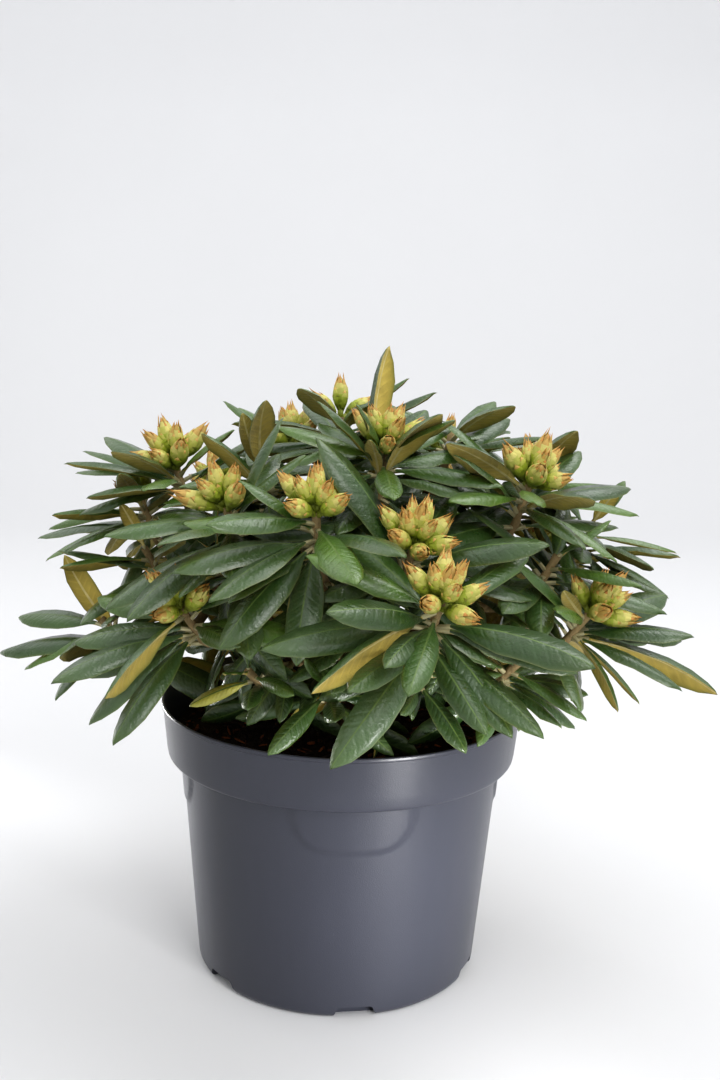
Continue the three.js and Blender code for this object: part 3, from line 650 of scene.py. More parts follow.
    def grow_filling(self, shoot, below, count, size, pitches):
        """Older leaves further down a twig, or all the leaves of a sprig. They droop."""
        draw = draws(shoot.seed + 31 * below)
        foot, axis = shoot.place_below(below * MM)
        for number in range(count):
            pitch = lerp(*pitches, draw())
            sway = FILLING_TURN_RANGE * (draw() - 0.5)
            line = direction(shoot.turn + FILLING_TURN + number * WHORL_STEP + sway, pitch)
            form = {
                "size": size * (FILLING_SIZE_FROM + FILLING_SIZE_RANGE * draw()),
                "recurve": lerp(*FILLING_RECURVE, draw()),
                "roll": FILLING_ROLL_RANGE * (draw() - 0.5),
                "age": FILLING_AGE_RANGE * draw(),
                "sag": 0,
                "filling": True,
            }
            lift = axis * (FILLING_LIFT * MM * number / count)
            self.grow_towards(shoot, form, line, foot + lift, axis)

    def grow_set_leaves(self, shoot):
        """The leaves that are set one by one. They are the oldest of the whorl."""
        for number, (azimuth, pitch, size, *roll) in enumerate(shoot.set_leaves):
            form = dict(self.spiral_form(shoot, number), size=size, roll=sum(roll), sag=0)
            self.grow_towards(shoot, form, direction(azimuth, pitch))

    def grow_spiral(self, shoot):
        """The rest of the whorl, from the oldest leaf to the youngest, and the erect ones in its heart."""
        draw = draws(shoot.seed + 25)
        count = shoot.leaves + (0 if shoot.buds or shoot.key in OPEN_HEARTS else ERECT_COUNT)
        for number in range(len(shoot.set_leaves), count):
            form = self.spiral_form(shoot, number)
            form["size"] *= shoot.size * (LEAF_SIZE_FROM + LEAF_SIZE_RANGE * draw())
            form["roll"] = LEAF_ROLL_RANGE * (draw() - 0.5)
            turn = shoot.turn + number * WHORL_STEP + LEAF_TURN_RANGE * (draw() - 0.5)
            self.grow_leaf(shoot, form, turn, form["open"] + LEAF_OPEN_RANGE * (draw() - 0.5))


# ---------------------------------------------------------------- sizes and colours to change


def metres(name, description, default, **limits):
    return FloatProperty(name=name, description=description, default=default, unit="LENGTH", **limits)


def colour(name, description, default):
    return FloatVectorProperty(
        name=name, description=description, default=default, subtype="COLOR", size=3, min=0, max=1
    )


class PotSettings(bpy.types.PropertyGroup):
    height: metres("Height", "Height of the pot", POT_HIGH.z)
    rim_radius: metres("Rim radius", "Outside of the lip", POT_HIGH.x)
    base_radius: metres("Base radius", "Outside of the wall just over the base", 0.1121)
    wall_top_radius: metres("Wall radius", "Outside of the wall just under the band", 0.1262)
    band_radius: metres("Band radius", "Outside of the stiff band at its lower edge", 0.1372)
    band_height: metres("Band height", "Height of the band's lower edge", 0.1728)
    thickness: metres("Wall", "Thickness of the wall", 0.0024)
    lug_height: metres("Lug height", "Lowest point of the raised panels under the band", 0.134)
    lug_proud: metres("Lug depth", "How far the raised panels stand out", 0.0014)
    plastic: colour("Plastic", "Colour of the moulded plastic", (0.032, 0.034, 0.046))


class SoilSettings(bpy.types.PropertyGroup):
    level: metres("Level", "Height of the peat round the stem", SOIL_HIGH.z)
    edge_drop: metres("Edge drop", "How much lower the peat is against the wall", 0.005)
    chips: IntProperty(name="Chips", description="Bits of bark on the peat", default=520, min=0)
    peat: colour("Peat", "Colour of the peat", (0.022, 0.0125, 0.0075))
    chip: colour("Bark chips", "Colour of the brightest bark chips", (0.27, 0.085, 0.026))


class WoodSettings(bpy.types.PropertyGroup):
    voxel: metres("Detail", "Size of the facets that join the limbs", 0.0013)
    relief: metres("Relief", "Depth of the cracks in the bark", 0.0011)
    bark: colour("Bark", "Colour of the old bark", (0.14, 0.085, 0.045))
    twig: colour("Twig", "Colour of the young wood", (0.27, 0.20, 0.10))


class LeafSettings(bpy.types.PropertyGroup):
    length: metres("Length", "Length of a full leaf with its stalk", 0.108)
    width: metres("Width", "Width of a full leaf", 0.033)
    thickness: metres("Thickness", "Thickness of the blade", 0.0009)
    green: colour("Green", "Colour of most leaves", (0.046, 0.100, 0.021))
    dark: colour("Dark green", "Colour of old leaves", (0.024, 0.060, 0.015))
    grey: colour("Grey green", "Colour of leaves with some bloom left", (0.050, 0.094, 0.035))
    bright: colour("Bright green", "Colour of leaves in better light", (0.072, 0.145, 0.022))
    pale: colour("Pale", "Colour of the few fading leaves", (0.36, 0.34, 0.055))
    felt: colour("Felt", "Colour of the felted underside", (0.50, 0.39, 0.095))
    rust: colour("Rust", "Colour of the underside of young leaves", (0.36, 0.21, 0.045))
    midrib: colour("Midrib", "Colour of the midrib", (0.105, 0.165, 0.045))
    stalk: colour("Stalk", "Colour of the leaf stalks", (0.50, 0.46, 0.27))


class BudSettings(bpy.types.PropertyGroup):
    length: metres("Length", "Length of a flower bud without its stalk", 0.0285)
    radius: metres("Radius", "Radius of a flower bud", 0.0062)
    scales: IntProperty(name="Scales", description="Scales that wrap a bud", default=15, min=6, max=40)
    green: colour("Green", "Colour of the lower half of a bud", (0.36, 0.42, 0.045))
    cream: colour("Cream", "Colour of the upper half of a bud", (0.62, 0.56, 0.17))
    tip: colour("Tip", "Colour of the dry points of the scales", (0.50, 0.24, 0.055))


class StageSettings(bpy.types.PropertyGroup):
    floor: colour("Floor", "Colour of the floor and the backdrop", (0.78, 0.78, 0.79))
    light: FloatProperty(name="Light", description="Strength of the light from all sides", default=0.9)
    key: FloatProperty(
        name="Key light", description="Power that each lamp takes its share of", default=11.0, unit="POWER"
    )
    lens: FloatProperty(name="Lens", description="Focal length", default=43.94, unit="CAMERA")


# ---------------------------------------------------------------- modelling helpers


def piece_done(piece, replaced):
    """Sets a finished piece in the frame. Its place is in its mesh."""
    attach(piece, "root")
    if replaced:
        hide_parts(*replaced)


def nodes_named(start):
    return [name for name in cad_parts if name.startswith(start)]


def only(piece):
    """Leaves edit mode, and makes one object the only one that operators act on."""
    if bpy.context.object and bpy.context.object.mode != "OBJECT":
        bpy.ops.object.mode_set(mode="OBJECT")
    bpy.ops.object.select_all(action="DESELECT")
    if piece:
        piece.select_set(True)
        bpy.context.view_layer.objects.active = piece
    return piece


def start(name, add, **sizes):
    """Adds a primitive, alone in the selection."""
    only(None)
    add(**sizes)
    piece = bpy.context.active_object
    piece.name = piece.data.name = name
    return only(piece)


def apply_modifiers(piece):
    only(piece)
    for modifier in list(piece.modifiers):
        bpy.ops.object.modifier_apply(modifier=modifier.name)


def settle(piece):
    """Puts the object's place and size into its mesh."""
    only(piece)
    bpy.ops.object.transform_apply(location=True, rotation=True, scale=True)


def dress(piece, *materials):
    piece.data.materials.clear()
    for made in materials:
        piece.data.materials.append(made)


class Joined:
    """Gathers many small shapes for one mesh: a material for each face, UV and tone for each point."""

    def __init__(self):
        self.points, self.faces, self.kinds, self.uvs, self.tones, self.sharp = [], [], [], [], [], []
        self.count = 0

    def add(self, points, faces, kinds, uvs=None, tone=0.5, sharp=None):
        size = len(points)
        self.points.append(np.asarray(points, dtype=float))
        self.faces += [tuple(corner + self.count for corner in face) for face in faces]
        self.kinds += list(kinds)
        self.uvs.append(np.zeros((size, 2)) if uvs is None else np.asarray(uvs, dtype=float))
        self.tones.append(np.full(size, tone))
        self.sharp.append(np.zeros(size, dtype=int) if sharp is None else np.asarray(sharp))
        self.count += size

    def build(self, name, materials):
        """One object of all the shapes. An edge is sharp if both its ends have the same mark."""
        mesh = bpy.data.meshes.new(name)
        mesh.from_pydata([tuple(point) for point in np.concatenate(self.points)], [], self.faces)
        for made in materials:
            mesh.materials.append(made)
        mesh.polygons.foreach_set("material_index", np.asarray(self.kinds, dtype=np.int32))
        mesh.polygons.foreach_set("use_smooth", np.ones(len(mesh.polygons), dtype=bool))
        corner = np.zeros(len(mesh.loops), dtype=np.int32)
        mesh.loops.foreach_get("vertex_index", corner)
        uvs = np.concatenate(self.uvs)[corner]
        mesh.uv_layers.new(name="blade").uv.foreach_set("vector", uvs.ravel())
        tones = np.concatenate(self.tones)
        mesh.attributes.new("tone", "FLOAT", "POINT").data.foreach_set("value", tones)
        ends = np.zeros(len(mesh.edges) * 2, dtype=np.int32)
        mesh.edges.foreach_get("vertices", ends)
        marks = np.concatenate(self.sharp)[ends.reshape(-1, 2)]
        crease = (marks[:, 0] == marks[:, 1]) & (marks[:, 0] > 0)
        mesh.attributes.new("sharp_edge", "BOOLEAN", "EDGE").data.foreach_set("value", crease)
        mesh.update()
        piece = bpy.data.objects.new(name, mesh)
        bpy.context.scene.collection.objects.link(piece)
        return piece


# ---------------------------------------------------------------- materials


def socket(group, name, kind, inside, default=None):
    made = group.interface.new_socket(name=name, in_out="INPUT" if inside else "OUTPUT", socket_type=kind)
    if default is not None:
        made.default_value = default


def math_node(tree, operation, first, second=None, third=None):
    node = tree.nodes.new("ShaderNodeMath")
    node.operation = operation
    for i, value in enumerate((first, second, third)):
        if value is None:
            continue
        if isinstance(value, (int, float)):
            node.inputs[i].default_value = value
        else:
            tree.links.new(value, node.inputs[i])
    return node.outputs[0]


def mottle_group():
    """Soft blotches in the object's own space, spread out to the whole range from 0 to 1."""
    group = bpy.data.node_groups.get("mottle")
    if group:
        return group
    group = bpy.data.node_groups.new("mottle", "ShaderNodeTree")
    socket(group, "Vector", "NodeSocketVector", True)
    socket(group, "Scale", "NodeSocketFloat", True, 40.0)
    socket(group, "Detail", "NodeSocketFloat", True, 3.0)
    socket(group, "Value", "NodeSocketFloat", False)
    inputs = group.nodes.new("NodeGroupInput")
    outputs = group.nodes.new("NodeGroupOutput")
    texture = group.nodes.new("ShaderNodeTexNoise")
    group.links.new(inputs.outputs["Vector"], texture.inputs["Vector"])
    group.links.new(inputs.outputs["Scale"], texture.inputs["Scale"])
    group.links.new(inputs.outputs["Detail"], texture.inputs["Detail"])
    spread = group.nodes.new("ShaderNodeMapRange")
    spread.inputs["From Min"].default_value = 0.3
    spread.inputs["From Max"].default_value = 0.7
    group.links.new(texture.outputs["Fac"], spread.inputs["Value"])
    group.links.new(spread.outputs["Result"], outputs.inputs["Value"])
    return group


def leaf_pattern_group():
    """Side veins, the margin and the point of a leaf, read from its own UV map."""
    group = bpy.data.node_groups.get("leaf pattern")
    if group:
        return group
    group = bpy.data.node_groups.new("leaf pattern", "ShaderNodeTree")
    socket(group, "UV", "NodeSocketVector", True)
    socket(group, "Pairs", "NodeSocketFloat", True, 13.0)
    for name in ("Veins", "Edge", "Point", "Rim highlight"):
        socket(group, name, "NodeSocketFloat", False)
    inputs = group.nodes.new("NodeGroupInput")
    outputs = group.nodes.new("NodeGroupOutput")
    parts = group.nodes.new("ShaderNodeSeparateXYZ")
    group.links.new(inputs.outputs["UV"], parts.inputs[0])
    u, v = parts.outputs[0], parts.outputs[1]
    off = math_node(group, "ABSOLUTE", math_node(group, "MULTIPLY_ADD", u, 2.0, -1.0))
    slant = math_node(group, "MULTIPLY", off, 1.5)
    phase = math_node(group, "SUBTRACT", math_node(group, "MULTIPLY", v, inputs.outputs["Pairs"]), slant)
    wave = math_node(group, "COSINE", math_node(group, "MULTIPLY", phase, 2 * math.pi))
    crest = math_node(group, "POWER", math_node(group, "MULTIPLY_ADD", wave, 0.5, 0.5), 4.0)
    fade = math_node(group, "SUBTRACT", 1.0, math_node(group, "POWER", off, 3.0))
    group.links.new(math_node(group, "MULTIPLY", crest, fade), outputs.inputs["Veins"])
    group.links.new(math_node(group, "POWER", off, 5.0), outputs.inputs["Edge"])
    group.links.new(math_node(group, "POWER", v, 7.0), outputs.inputs["Point"])
    # The very edge of a leaf, where the painted highlight lies.
    group.links.new(math_node(group, "POWER", off, 26.0), outputs.inputs["Rim highlight"])
    return group


class Finish:
    """One material in the making: its tree, its shader and the nodes that most finishes share."""

    def __init__(self, name, roughness=0.5, specular=0.5):
        self.material = bpy.data.materials.new(name)
        self.material.use_nodes = True
        self.tree = self.material.node_tree
        self.shader = self.tree.nodes["Principled BSDF"]
        self.shader.inputs["Roughness"].default_value = roughness
        self.shader.inputs["Specular IOR Level"].default_value = specular
        self.place = self.node("ShaderNodeTexCoord").outputs["Object"]

    def node(self, kind):
        return self.tree.nodes.new(kind)

    def link(self, source, target):
        self.tree.links.new(source, target)

    def mottle(self, scale, detail=3.0, stretch=None):
        node = self.node("ShaderNodeGroup")
        node.node_tree = mottle_group()
        node.inputs["Scale"].default_value = scale
        node.inputs["Detail"].default_value = detail
        place = self.place
        if stretch:
            mapping = self.node("ShaderNodeMapping")
            mapping.inputs["Scale"].default_value = stretch
            self.link(place, mapping.inputs["Vector"])
            place = mapping.outputs["Vector"]
        self.link(place, node.inputs["Vector"])
        return node.outputs["Value"]

    def mix(self, amount, first, second, share=1.0):
        """A blend of two colours, each plain or from another node. share scales the amount."""
        if share != 1.0:
            amount = math_node(self.tree, "MULTIPLY", amount, share)
        node = self.node("ShaderNodeMix")
        node.data_type = "RGBA"
        self.link(amount, node.inputs["Factor"])
        for value, target in ((first, node.inputs["A"]), (second, node.inputs["B"])):
            if isinstance(value, bpy.types.NodeSocket):
                self.link(value, target)
            else:
                target.default_value = (*value, 1.0)
        return node.outputs["Result"]

    def leaf_pattern(self, pairs=13.0):
        node = self.node("ShaderNodeGroup")
        node.node_tree = leaf_pattern_group()
        node.inputs["Pairs"].default_value = pairs
        uv = self.node("ShaderNodeUVMap")
        uv.uv_map = "blade"
        self.link(uv.outputs["UV"], node.inputs["UV"])
        return node.outputs

    def tone(self):
        node = self.node("ShaderNodeAttribute")
        node.attribute_name = "tone"
        return node.outputs["Fac"]

    def bump(self, height, distance, strength=1.0):
        node = self.node("ShaderNodeBump")
        node.inputs["Distance"].default_value = distance
        node.inputs["Strength"].default_value = strength
        self.link(height, node.inputs["Height"])
        self.link(node.outputs["Normal"], self.shader.inputs["Normal"])

    def vary(self, value, low, high, target):
        node = self.node("ShaderNodeMapRange")
        node.inputs["To Min"].default_value = low
        node.inputs["To Max"].default_value = high
        self.link(value, node.inputs["Value"])
        self.link(node.outputs["Result"], target)

    def done(self, base):
        self.link(base, self.shader.inputs["Base Color"])
        return self.material


def shade(colour, factor):
    return tuple(min(1.0, channel * factor) for channel in colour)


def blended(first, second, share):
    return tuple(lerp(a, b, share) for a, b in zip(first, second))


FRESH_GREEN = (0.17, 0.25, 0.035)
LIGHT_GREEN = (0.09, 0.17, 0.03)
# Pale colour of the painted highlight along a leaf's rolled margin.
PAINTED_RIM_HIGHLIGHT = (0.30, 0.30, 0.10)
FELT_MARGIN = (0.10, 0.14, 0.035)
FELT_MIDRIB = (0.80, 0.72, 0.40)


def leaf_finish(name, green):
    """The upper side: leathery, darker along the middle, fresher towards margin and point, with a painted
    highlight along the very edge.
    """
    made = Finish(name, 0.34, 0.65)
    made.shader.inputs["Coat Weight"].default_value = 0.3
    made.shader.inputs["Coat Roughness"].default_value = 0.22
    pattern = made.leaf_pattern()
    fresh = blended(green, FRESH_GREEN, 0.3)
    base = made.mix(made.mottle(55, 4), shade(green, 0.72), shade(green, 1.2))
    base = made.mix(made.tone(), base, blended(green, LIGHT_GREEN, 0.35), 0.5)
    base = made.mix(pattern["Edge"], base, fresh, 0.35)
    base = made.mix(pattern["Point"], base, fresh, 0.8)
    base = made.mix(pattern["Veins"], base, shade(green, 1.5), 0.12)
    # Painted highlight: a pale line along the margin, where the rolled edge would catch the light.
    base = made.mix(pattern["Rim highlight"], base, PAINTED_RIM_HIGHLIGHT, 0.35)
    made.vary(made.mottle(90, 3), 0.26, 0.42, made.shader.inputs["Roughness"])
    wrinkles = math_node(made.tree, "MULTIPLY", made.mottle(480, 3), 1.1)
    made.bump(math_node(made.tree, "SUBTRACT", wrinkles, pattern["Veins"]), 0.0004, 0.55)
    return made.done(base)


def felt_finish(name, felt):
    """The underside: a dense woolly felt."""
    made = Finish(name, 0.85, 0.25)
    pattern = made.leaf_pattern()
    made.shader.inputs["Sheen Weight"].default_value = 0.25
    base = made.mix(made.mottle(60, 3), shade(felt, 0.72), shade(felt, 1.2))
    base = made.mix(made.tone(), base, shade(felt, 1.35), 0.4)
    base = made.mix(pattern["Veins"], base, shade(felt, 1.35), 0.3)
    base = made.mix(pattern["Edge"], base, FELT_MARGIN, 0.8)
    wool = math_node(made.tree, "MULTIPLY", made.mottle(900, 2), 0.5)
    made.bump(math_node(made.tree, "ADD", wool, pattern["Veins"]), 0.0005, 0.5)
    return made.done(base)


def stalk_finish(name, pale):
    made = Finish(name, 0.5)
    base = made.mix(made.mottle(140, 3), shade(pale, 0.8), shade(pale, 1.2))
    made.bump(made.mottle(500, 2), 0.0002, 0.4)
    return made.done(base)


def scale_finish(name, low, high):
    """A bud scale, from its hidden foot to its point."""
    made = Finish(name, 0.55)
    uv = made.node("ShaderNodeUVMap")
    uv.uv_map = "blade"
    parts = made.node("ShaderNodeSeparateXYZ")
    made.link(uv.outputs["UV"], parts.inputs[0])
    base = made.mix(parts.outputs[1], low, high)
    base = made.mix(made.mottle(260, 4), base, shade(blended(low, high, 0.5), 0.6), 0.35)
    made.bump(made.mottle(700, 2), 0.0003, 0.5)
    return made.done(base)


def bark_finish(name, bark):
    made = Finish(name, 0.85, 0.3)
    base = made.mix(made.mottle(70, 5, (1, 1, 0.25)), shade(bark, 0.45), shade(bark, 1.3))
    base = made.mix(made.mottle(320, 4), base, shade(bark, 1.8), 0.3)
    made.bump(made.mottle(380, 5, (1, 1, 0.3)), 0.0008, 0.8)
    return made.done(base)


def plastic_finish(name, plastic):
    """Moulded plastic with a satin skin: a fine grain and faint upright flow lines."""
    made = Finish(name, 0.3)
    base = made.mix(made.mottle(9, 1), shade(plastic, 0.96), shade(plastic, 1.05))
    base = made.mix(made.mottle(240, 1, (1, 1, 0.03)), base, shade(plastic, 1.5), 0.05)
    made.vary(made.mottle(60, 1, (1, 1, 0.05)), 0.28, 0.32, made.shader.inputs["Roughness"])
    made.bump(made.mottle(1500, 2), 0.00012, 0.35)
    return made.done(base)


def peat_finish(name, peat):
    made = Finish(name, 0.95, 0.2)
    base = made.mix(made.mottle(180, 6), shade(peat, 0.4), shade(peat, 1.7))
    base = made.mix(made.mottle(520, 3), base, shade(peat, 4.0), 0.25)
    made.bump(made.mottle(420, 6), 0.0025, 0.9)
    return made.done(base)


def stage_finish(name, pale):
    made = Finish(name, 0.55, 0.3)
    parts = made.node("ShaderNodeSeparateXYZ")
    made.link(made.place, parts.inputs[0])
    # Painted shade: the paper is coloured darker low on the floor and lighter up the wall, to even out the
    # stronger light that falls on the floor.
    base = made.mix(parts.outputs[2], shade(pale, 0.93), shade(pale, 1.07))
    return made.done(made.mix(made.mottle(3, 2), base, shade(pale, 0.95), 0.1))


# ---------------------------------------------------------------- pot

POT_SIDES, POT_CREASE = 256, 38
BASE_ROUND = 0.006
BASE_THICKNESS = 0.005
LIP = 0.0009  # how far the lip stands out over the band
WALL_STEP, FINE_STEP, BAND_STEP = 0.012, 0.0016, 0.006  # heights from ring to ring; fine at the panels
FINE_BELOW = 0.008  # how far under the panels the fine rings begin
WALL_ROOM, BAND_ROOM = 0.001, 0.0045  # left free of plain rings under the band and under the top
FILLET_OUT, FILLET_DOWN = 0.0008, 0.0006  # of the ring that eases the wall into the band
INNER_STEP = 0.004  # from the band's lower edge up to where the inside widens
# Rings round the band's lower corner and over the lip: how far in from its radius, and how far up.
BAND_CORNER = ((0.0020, -0.0001), (0.0009, 0.0005), (0.0002, 0.0016), (0, 0.0028))
LIP_CORNER = ((0.0002, -0.0028), (0, -0.0016), (0.0003, -0.0005), (0.0011, 0))
LIP_LOW = 0.0036  # from the top of the pot to the foot of the lip
PANELS, PANEL_AZIMUTH, PANEL_HALF_SPAN = 4, 5, 23
PANEL_ARCH = 5  # the higher, the squarer the arch of the lower edge
PANEL_TOP = 0.0008  # how far under the band the panels end
PANEL_BLEND, PANEL_REACH = 0.005, 0.12  # width of the blend at a panel's edge; its rough radius
WALL_SKIN = 0.0004  # points this near to the wall's outside, or beyond it, move with the panels
NOTCHES, NOTCH_AZIMUTH = 6, 8
NOTCH_SIZE, NOTCH_HEIGHT = (0.034, 0.020, 0.011), 0.0035  # of the cutter, and of its middle
NOTCH_TOP = 0.76  # width of a notch at its top, as a share of that at its foot
NOTCH_ROUND = 0.002


def raise_ring(centre_height, rise, factor):
    """Extrudes the selected disc straight up or down, then widens or narrows it."""
    bpy.ops.mesh.extrude_region_move(TRANSFORM_OT_translate={"value": (0, 0, rise)})
    bpy.ops.transform.resize(value=(factor, factor, 1), center_override=(0, 0, centre_height))


def pot_profile(pot):
    """Radius and height of the rings, from the underside up the outside and down the inside."""
    band, top = pot.band_height, pot.height

    def wall_at(z):
        return lerp(pot.base_radius, pot.wall_top_radius, (z - BASE_ROUND) / (band - BASE_ROUND))

    def band_at(z):
        return lerp(pot.band_radius, pot.rim_radius - LIP, (z - band) / (top - band))

    rings = []
    steps = 5
    for step in range(1, steps + 1):
        turn = step / steps * math.pi / 2
        rings.append((pot.base_radius - BASE_ROUND * (1 - math.sin(turn)), BASE_ROUND * (1 - math.cos(turn))))
    fine_from = pot.lug_height - FINE_BELOW
    rings += [(wall_at(z), z) for z in np.arange(BASE_ROUND + WALL_STEP, fine_from, WALL_STEP)]
    rings += [(wall_at(z), z) for z in np.arange(fine_from, band - WALL_ROOM, FINE_STEP)]
    rings.append((wall_at(band) + FILLET_OUT, band - FILLET_DOWN))
    rings += [(pot.band_radius - inwards, band + up) for inwards, up in BAND_CORNER]
    rings += [(band_at(z), z) for z in np.arange(band + BAND_STEP, top - BAND_ROOM, BAND_STEP)]
    rings.append((band_at(top - LIP_LOW), top - LIP_LOW))
    rings += [(pot.rim_radius - inwards, top + up) for inwards, up in LIP_CORNER]
    rings += [
        (pot.rim_radius - pot.thickness + 0.0006, top - 0.0001),
        (pot.rim_radius - pot.thickness, top - 0.0009),
        (band_at(band + INNER_STEP) - pot.thickness, band + INNER_STEP),
        (wall_at(band) - pot.thickness, band),
        (wall_at(BASE_THICKNESS) - pot.thickness, BASE_THICKNESS),
    ]
    return rings, wall_at


def raise_panels(piece, pot, wall_at):
    """Moves the wall out where panels with an arched lower edge hang from the band."""
    half_span, quarter = math.radians(PANEL_HALF_SPAN), 2 * math.pi / PANELS
    count = len(piece.data.vertices)
    points = np.zeros(count * 3)
    piece.data.vertices.foreach_get("co", points)
    points = points.reshape(-1, 3)
    reach = np.hypot(points[:, 0], points[:, 1])
    azimuth = np.arctan2(points[:, 0], -points[:, 1]) - math.radians(PANEL_AZIMUTH)
    across = (np.mod(azimuth + quarter / 2, quarter) - quarter / 2) / half_span
    arch = 1 - np.clip(np.abs(across), 0, 1) ** PANEL_ARCH
    low = pot.band_height - (pot.band_height - pot.lug_height) * arch
    inside_up = np.clip((points[:, 2] - low) / PANEL_BLEND, 0, 1)
    inside_across = np.clip((1 - np.abs(across)) * half_span * PANEL_REACH / (2 * PANEL_BLEND), 0, 1)
    inside = np.minimum(inside_up, inside_across)
    inside = inside * inside * (3 - 2 * inside)
    outer = reach > np.array([wall_at(z) for z in points[:, 2]]) - WALL_SKIN
    wall = outer & (points[:, 2] < pot.band_height - PANEL_TOP)
    factor = np.where(wall, 1 + inside * pot.lug_proud / reach.clip(0.01), 1)
    points[:, 0] *= factor
    points[:, 1] *= factor
    piece.data.vertices.foreach_set("co", points.ravel())
    piece.data.update()


def notch_cutter(pot):
    """One drainage notch: a box with a narrower top, set through the corner of the base."""
    place = (0, -pot.base_radius, NOTCH_HEIGHT)
    cutter = start("notch", bpy.ops.mesh.primitive_cube_add, size=1, location=place)
    cutter.scale = NOTCH_SIZE
    settle(cutter)
    mesh = cutter.data
    for face in mesh.polygons:
        face.select = face.normal.z > 0.9
    for vertex in mesh.vertices:
        vertex.select = vertex.co.z > NOTCH_HEIGHT
    for edge in mesh.edges:
        edge.select = all(mesh.vertices[i].select for i in edge.vertices)
    bpy.ops.object.mode_set(mode="EDIT")
    bpy.ops.transform.resize(value=(NOTCH_TOP, 1, 1), center_override=(0, -pot.base_radius, 0.01))
    bpy.ops.object.mode_set(mode="OBJECT")
    bevel = cutter.modifiers.new("round", "BEVEL")
    bevel.width, bevel.segments = NOTCH_ROUND, 2
    apply_modifiers(cutter)
    return cutter


def build_pot(pot):
    piece = start(
        "nursery_pot",
        bpy.ops.mesh.primitive_circle_add,
        vertices=POT_SIDES,
        radius=pot.base_radius - BASE_ROUND,
        fill_type="NGON",
    )
    rings, wall_at = pot_profile(pot)
    bpy.ops.object.mode_set(mode="EDIT")
    bpy.ops.mesh.select_all(action="SELECT")
    radius, height = pot.base_radius - BASE_ROUND, 0.0
    for next_radius, next_height in rings:
        raise_ring(next_height, next_height - height, next_radius / radius)
        radius, height = next_radius, next_height
    bpy.ops.mesh.select_all(action="SELECT")
    bpy.ops.mesh.normals_make_consistent(inside=False)
    bpy.ops.object.mode_set(mode="OBJECT")
    raise_panels(piece, pot, wall_at)
    cutter = notch_cutter(pot)
    for i in range(NOTCHES):
        copy = cutter.copy()
        copy.data = cutter.data.copy()
        bpy.context.scene.collection.objects.link(copy)
        copy.data.transform(Matrix.Rotation(math.radians(NOTCH_AZIMUTH + i * 360 / NOTCHES), 4, "Z"))
        cut = piece.modifiers.new(f"cut {i}", "BOOLEAN")
        cut.operation, cut.object, cut.solver = "DIFFERENCE", copy, "EXACT"
        apply_modifiers(piece)
        bpy.data.objects.remove(copy)
    bpy.data.objects.remove(cutter)
    only(piece)
    bpy.ops.object.shade_smooth_by_angle(angle=math.radians(POT_CREASE))
    dress(piece, plastic_finish("satin plastic", pot.plastic))
    piece_done(piece, ["pot"])


# ---------------------------------------------------------------- soil

SOIL_FLAT_RADIUS = 0.034
SOIL_SIDES, SOIL_RINGS = 128, 22
SOIL_GROOVE = 0.0005  # between the peat and the wall
SOIL_SINK = 0.0012
LUMP_DENSITY, LUMP_HEIGHT = 60, 0.0026
GRAIN_DENSITY, GRAIN_HEIGHT = 260, 0.0009
CALM_WIDTH, CALM_SHARE = 0.01, 0.2  # the roughness fades over this width to this share at the edge
SOIL_SKIRT = ((0.006, 0.985), (0.016, 0.9))  # how far the edge turns down, and how much it draws in
CHIP_REACH = (0.016, 0.112)  # from the middle to the nearest chips, and the width of their ring
CHIP_LENGTH, CHIP_WIDTH, CHIP_THICKNESS = (0.003, 0.013), (0.0016, 0.0042), (0.0007, 0.0018)
CHIP_LIFT, CHIP_TILT, CHIP_JOLT = 0.0008, 0.9, 0.4
CHIP_FOOT = 0.4  # how deep a chip sits in the peat, as a share of its thickness
CHIP_SECTIONS = ((-0.5, 0.45), (-0.1, 1.0), (0.5, 0.55))  # place along a chip, and its width there
CHIP_CORNERS = ((-0.5, 0), (-0.3, 1), (0.35, 0.9), (0.5, -0.1))  # place across a chip, and its height
LONG_CHIP = 0.006  # longer chips may be of the freshest bark too
CHIP_SEED = 4001


def soil_top(reach, settings):
    """The peat is flat round the stem and sinks towards the wall."""
    outward = max(0.0, (reach - SOIL_FLAT_RADIUS) / (SOIL_HIGH.x - SOIL_FLAT_RADIUS))
    return settings.level - settings.edge_drop * min(1.0, outward**0.7)


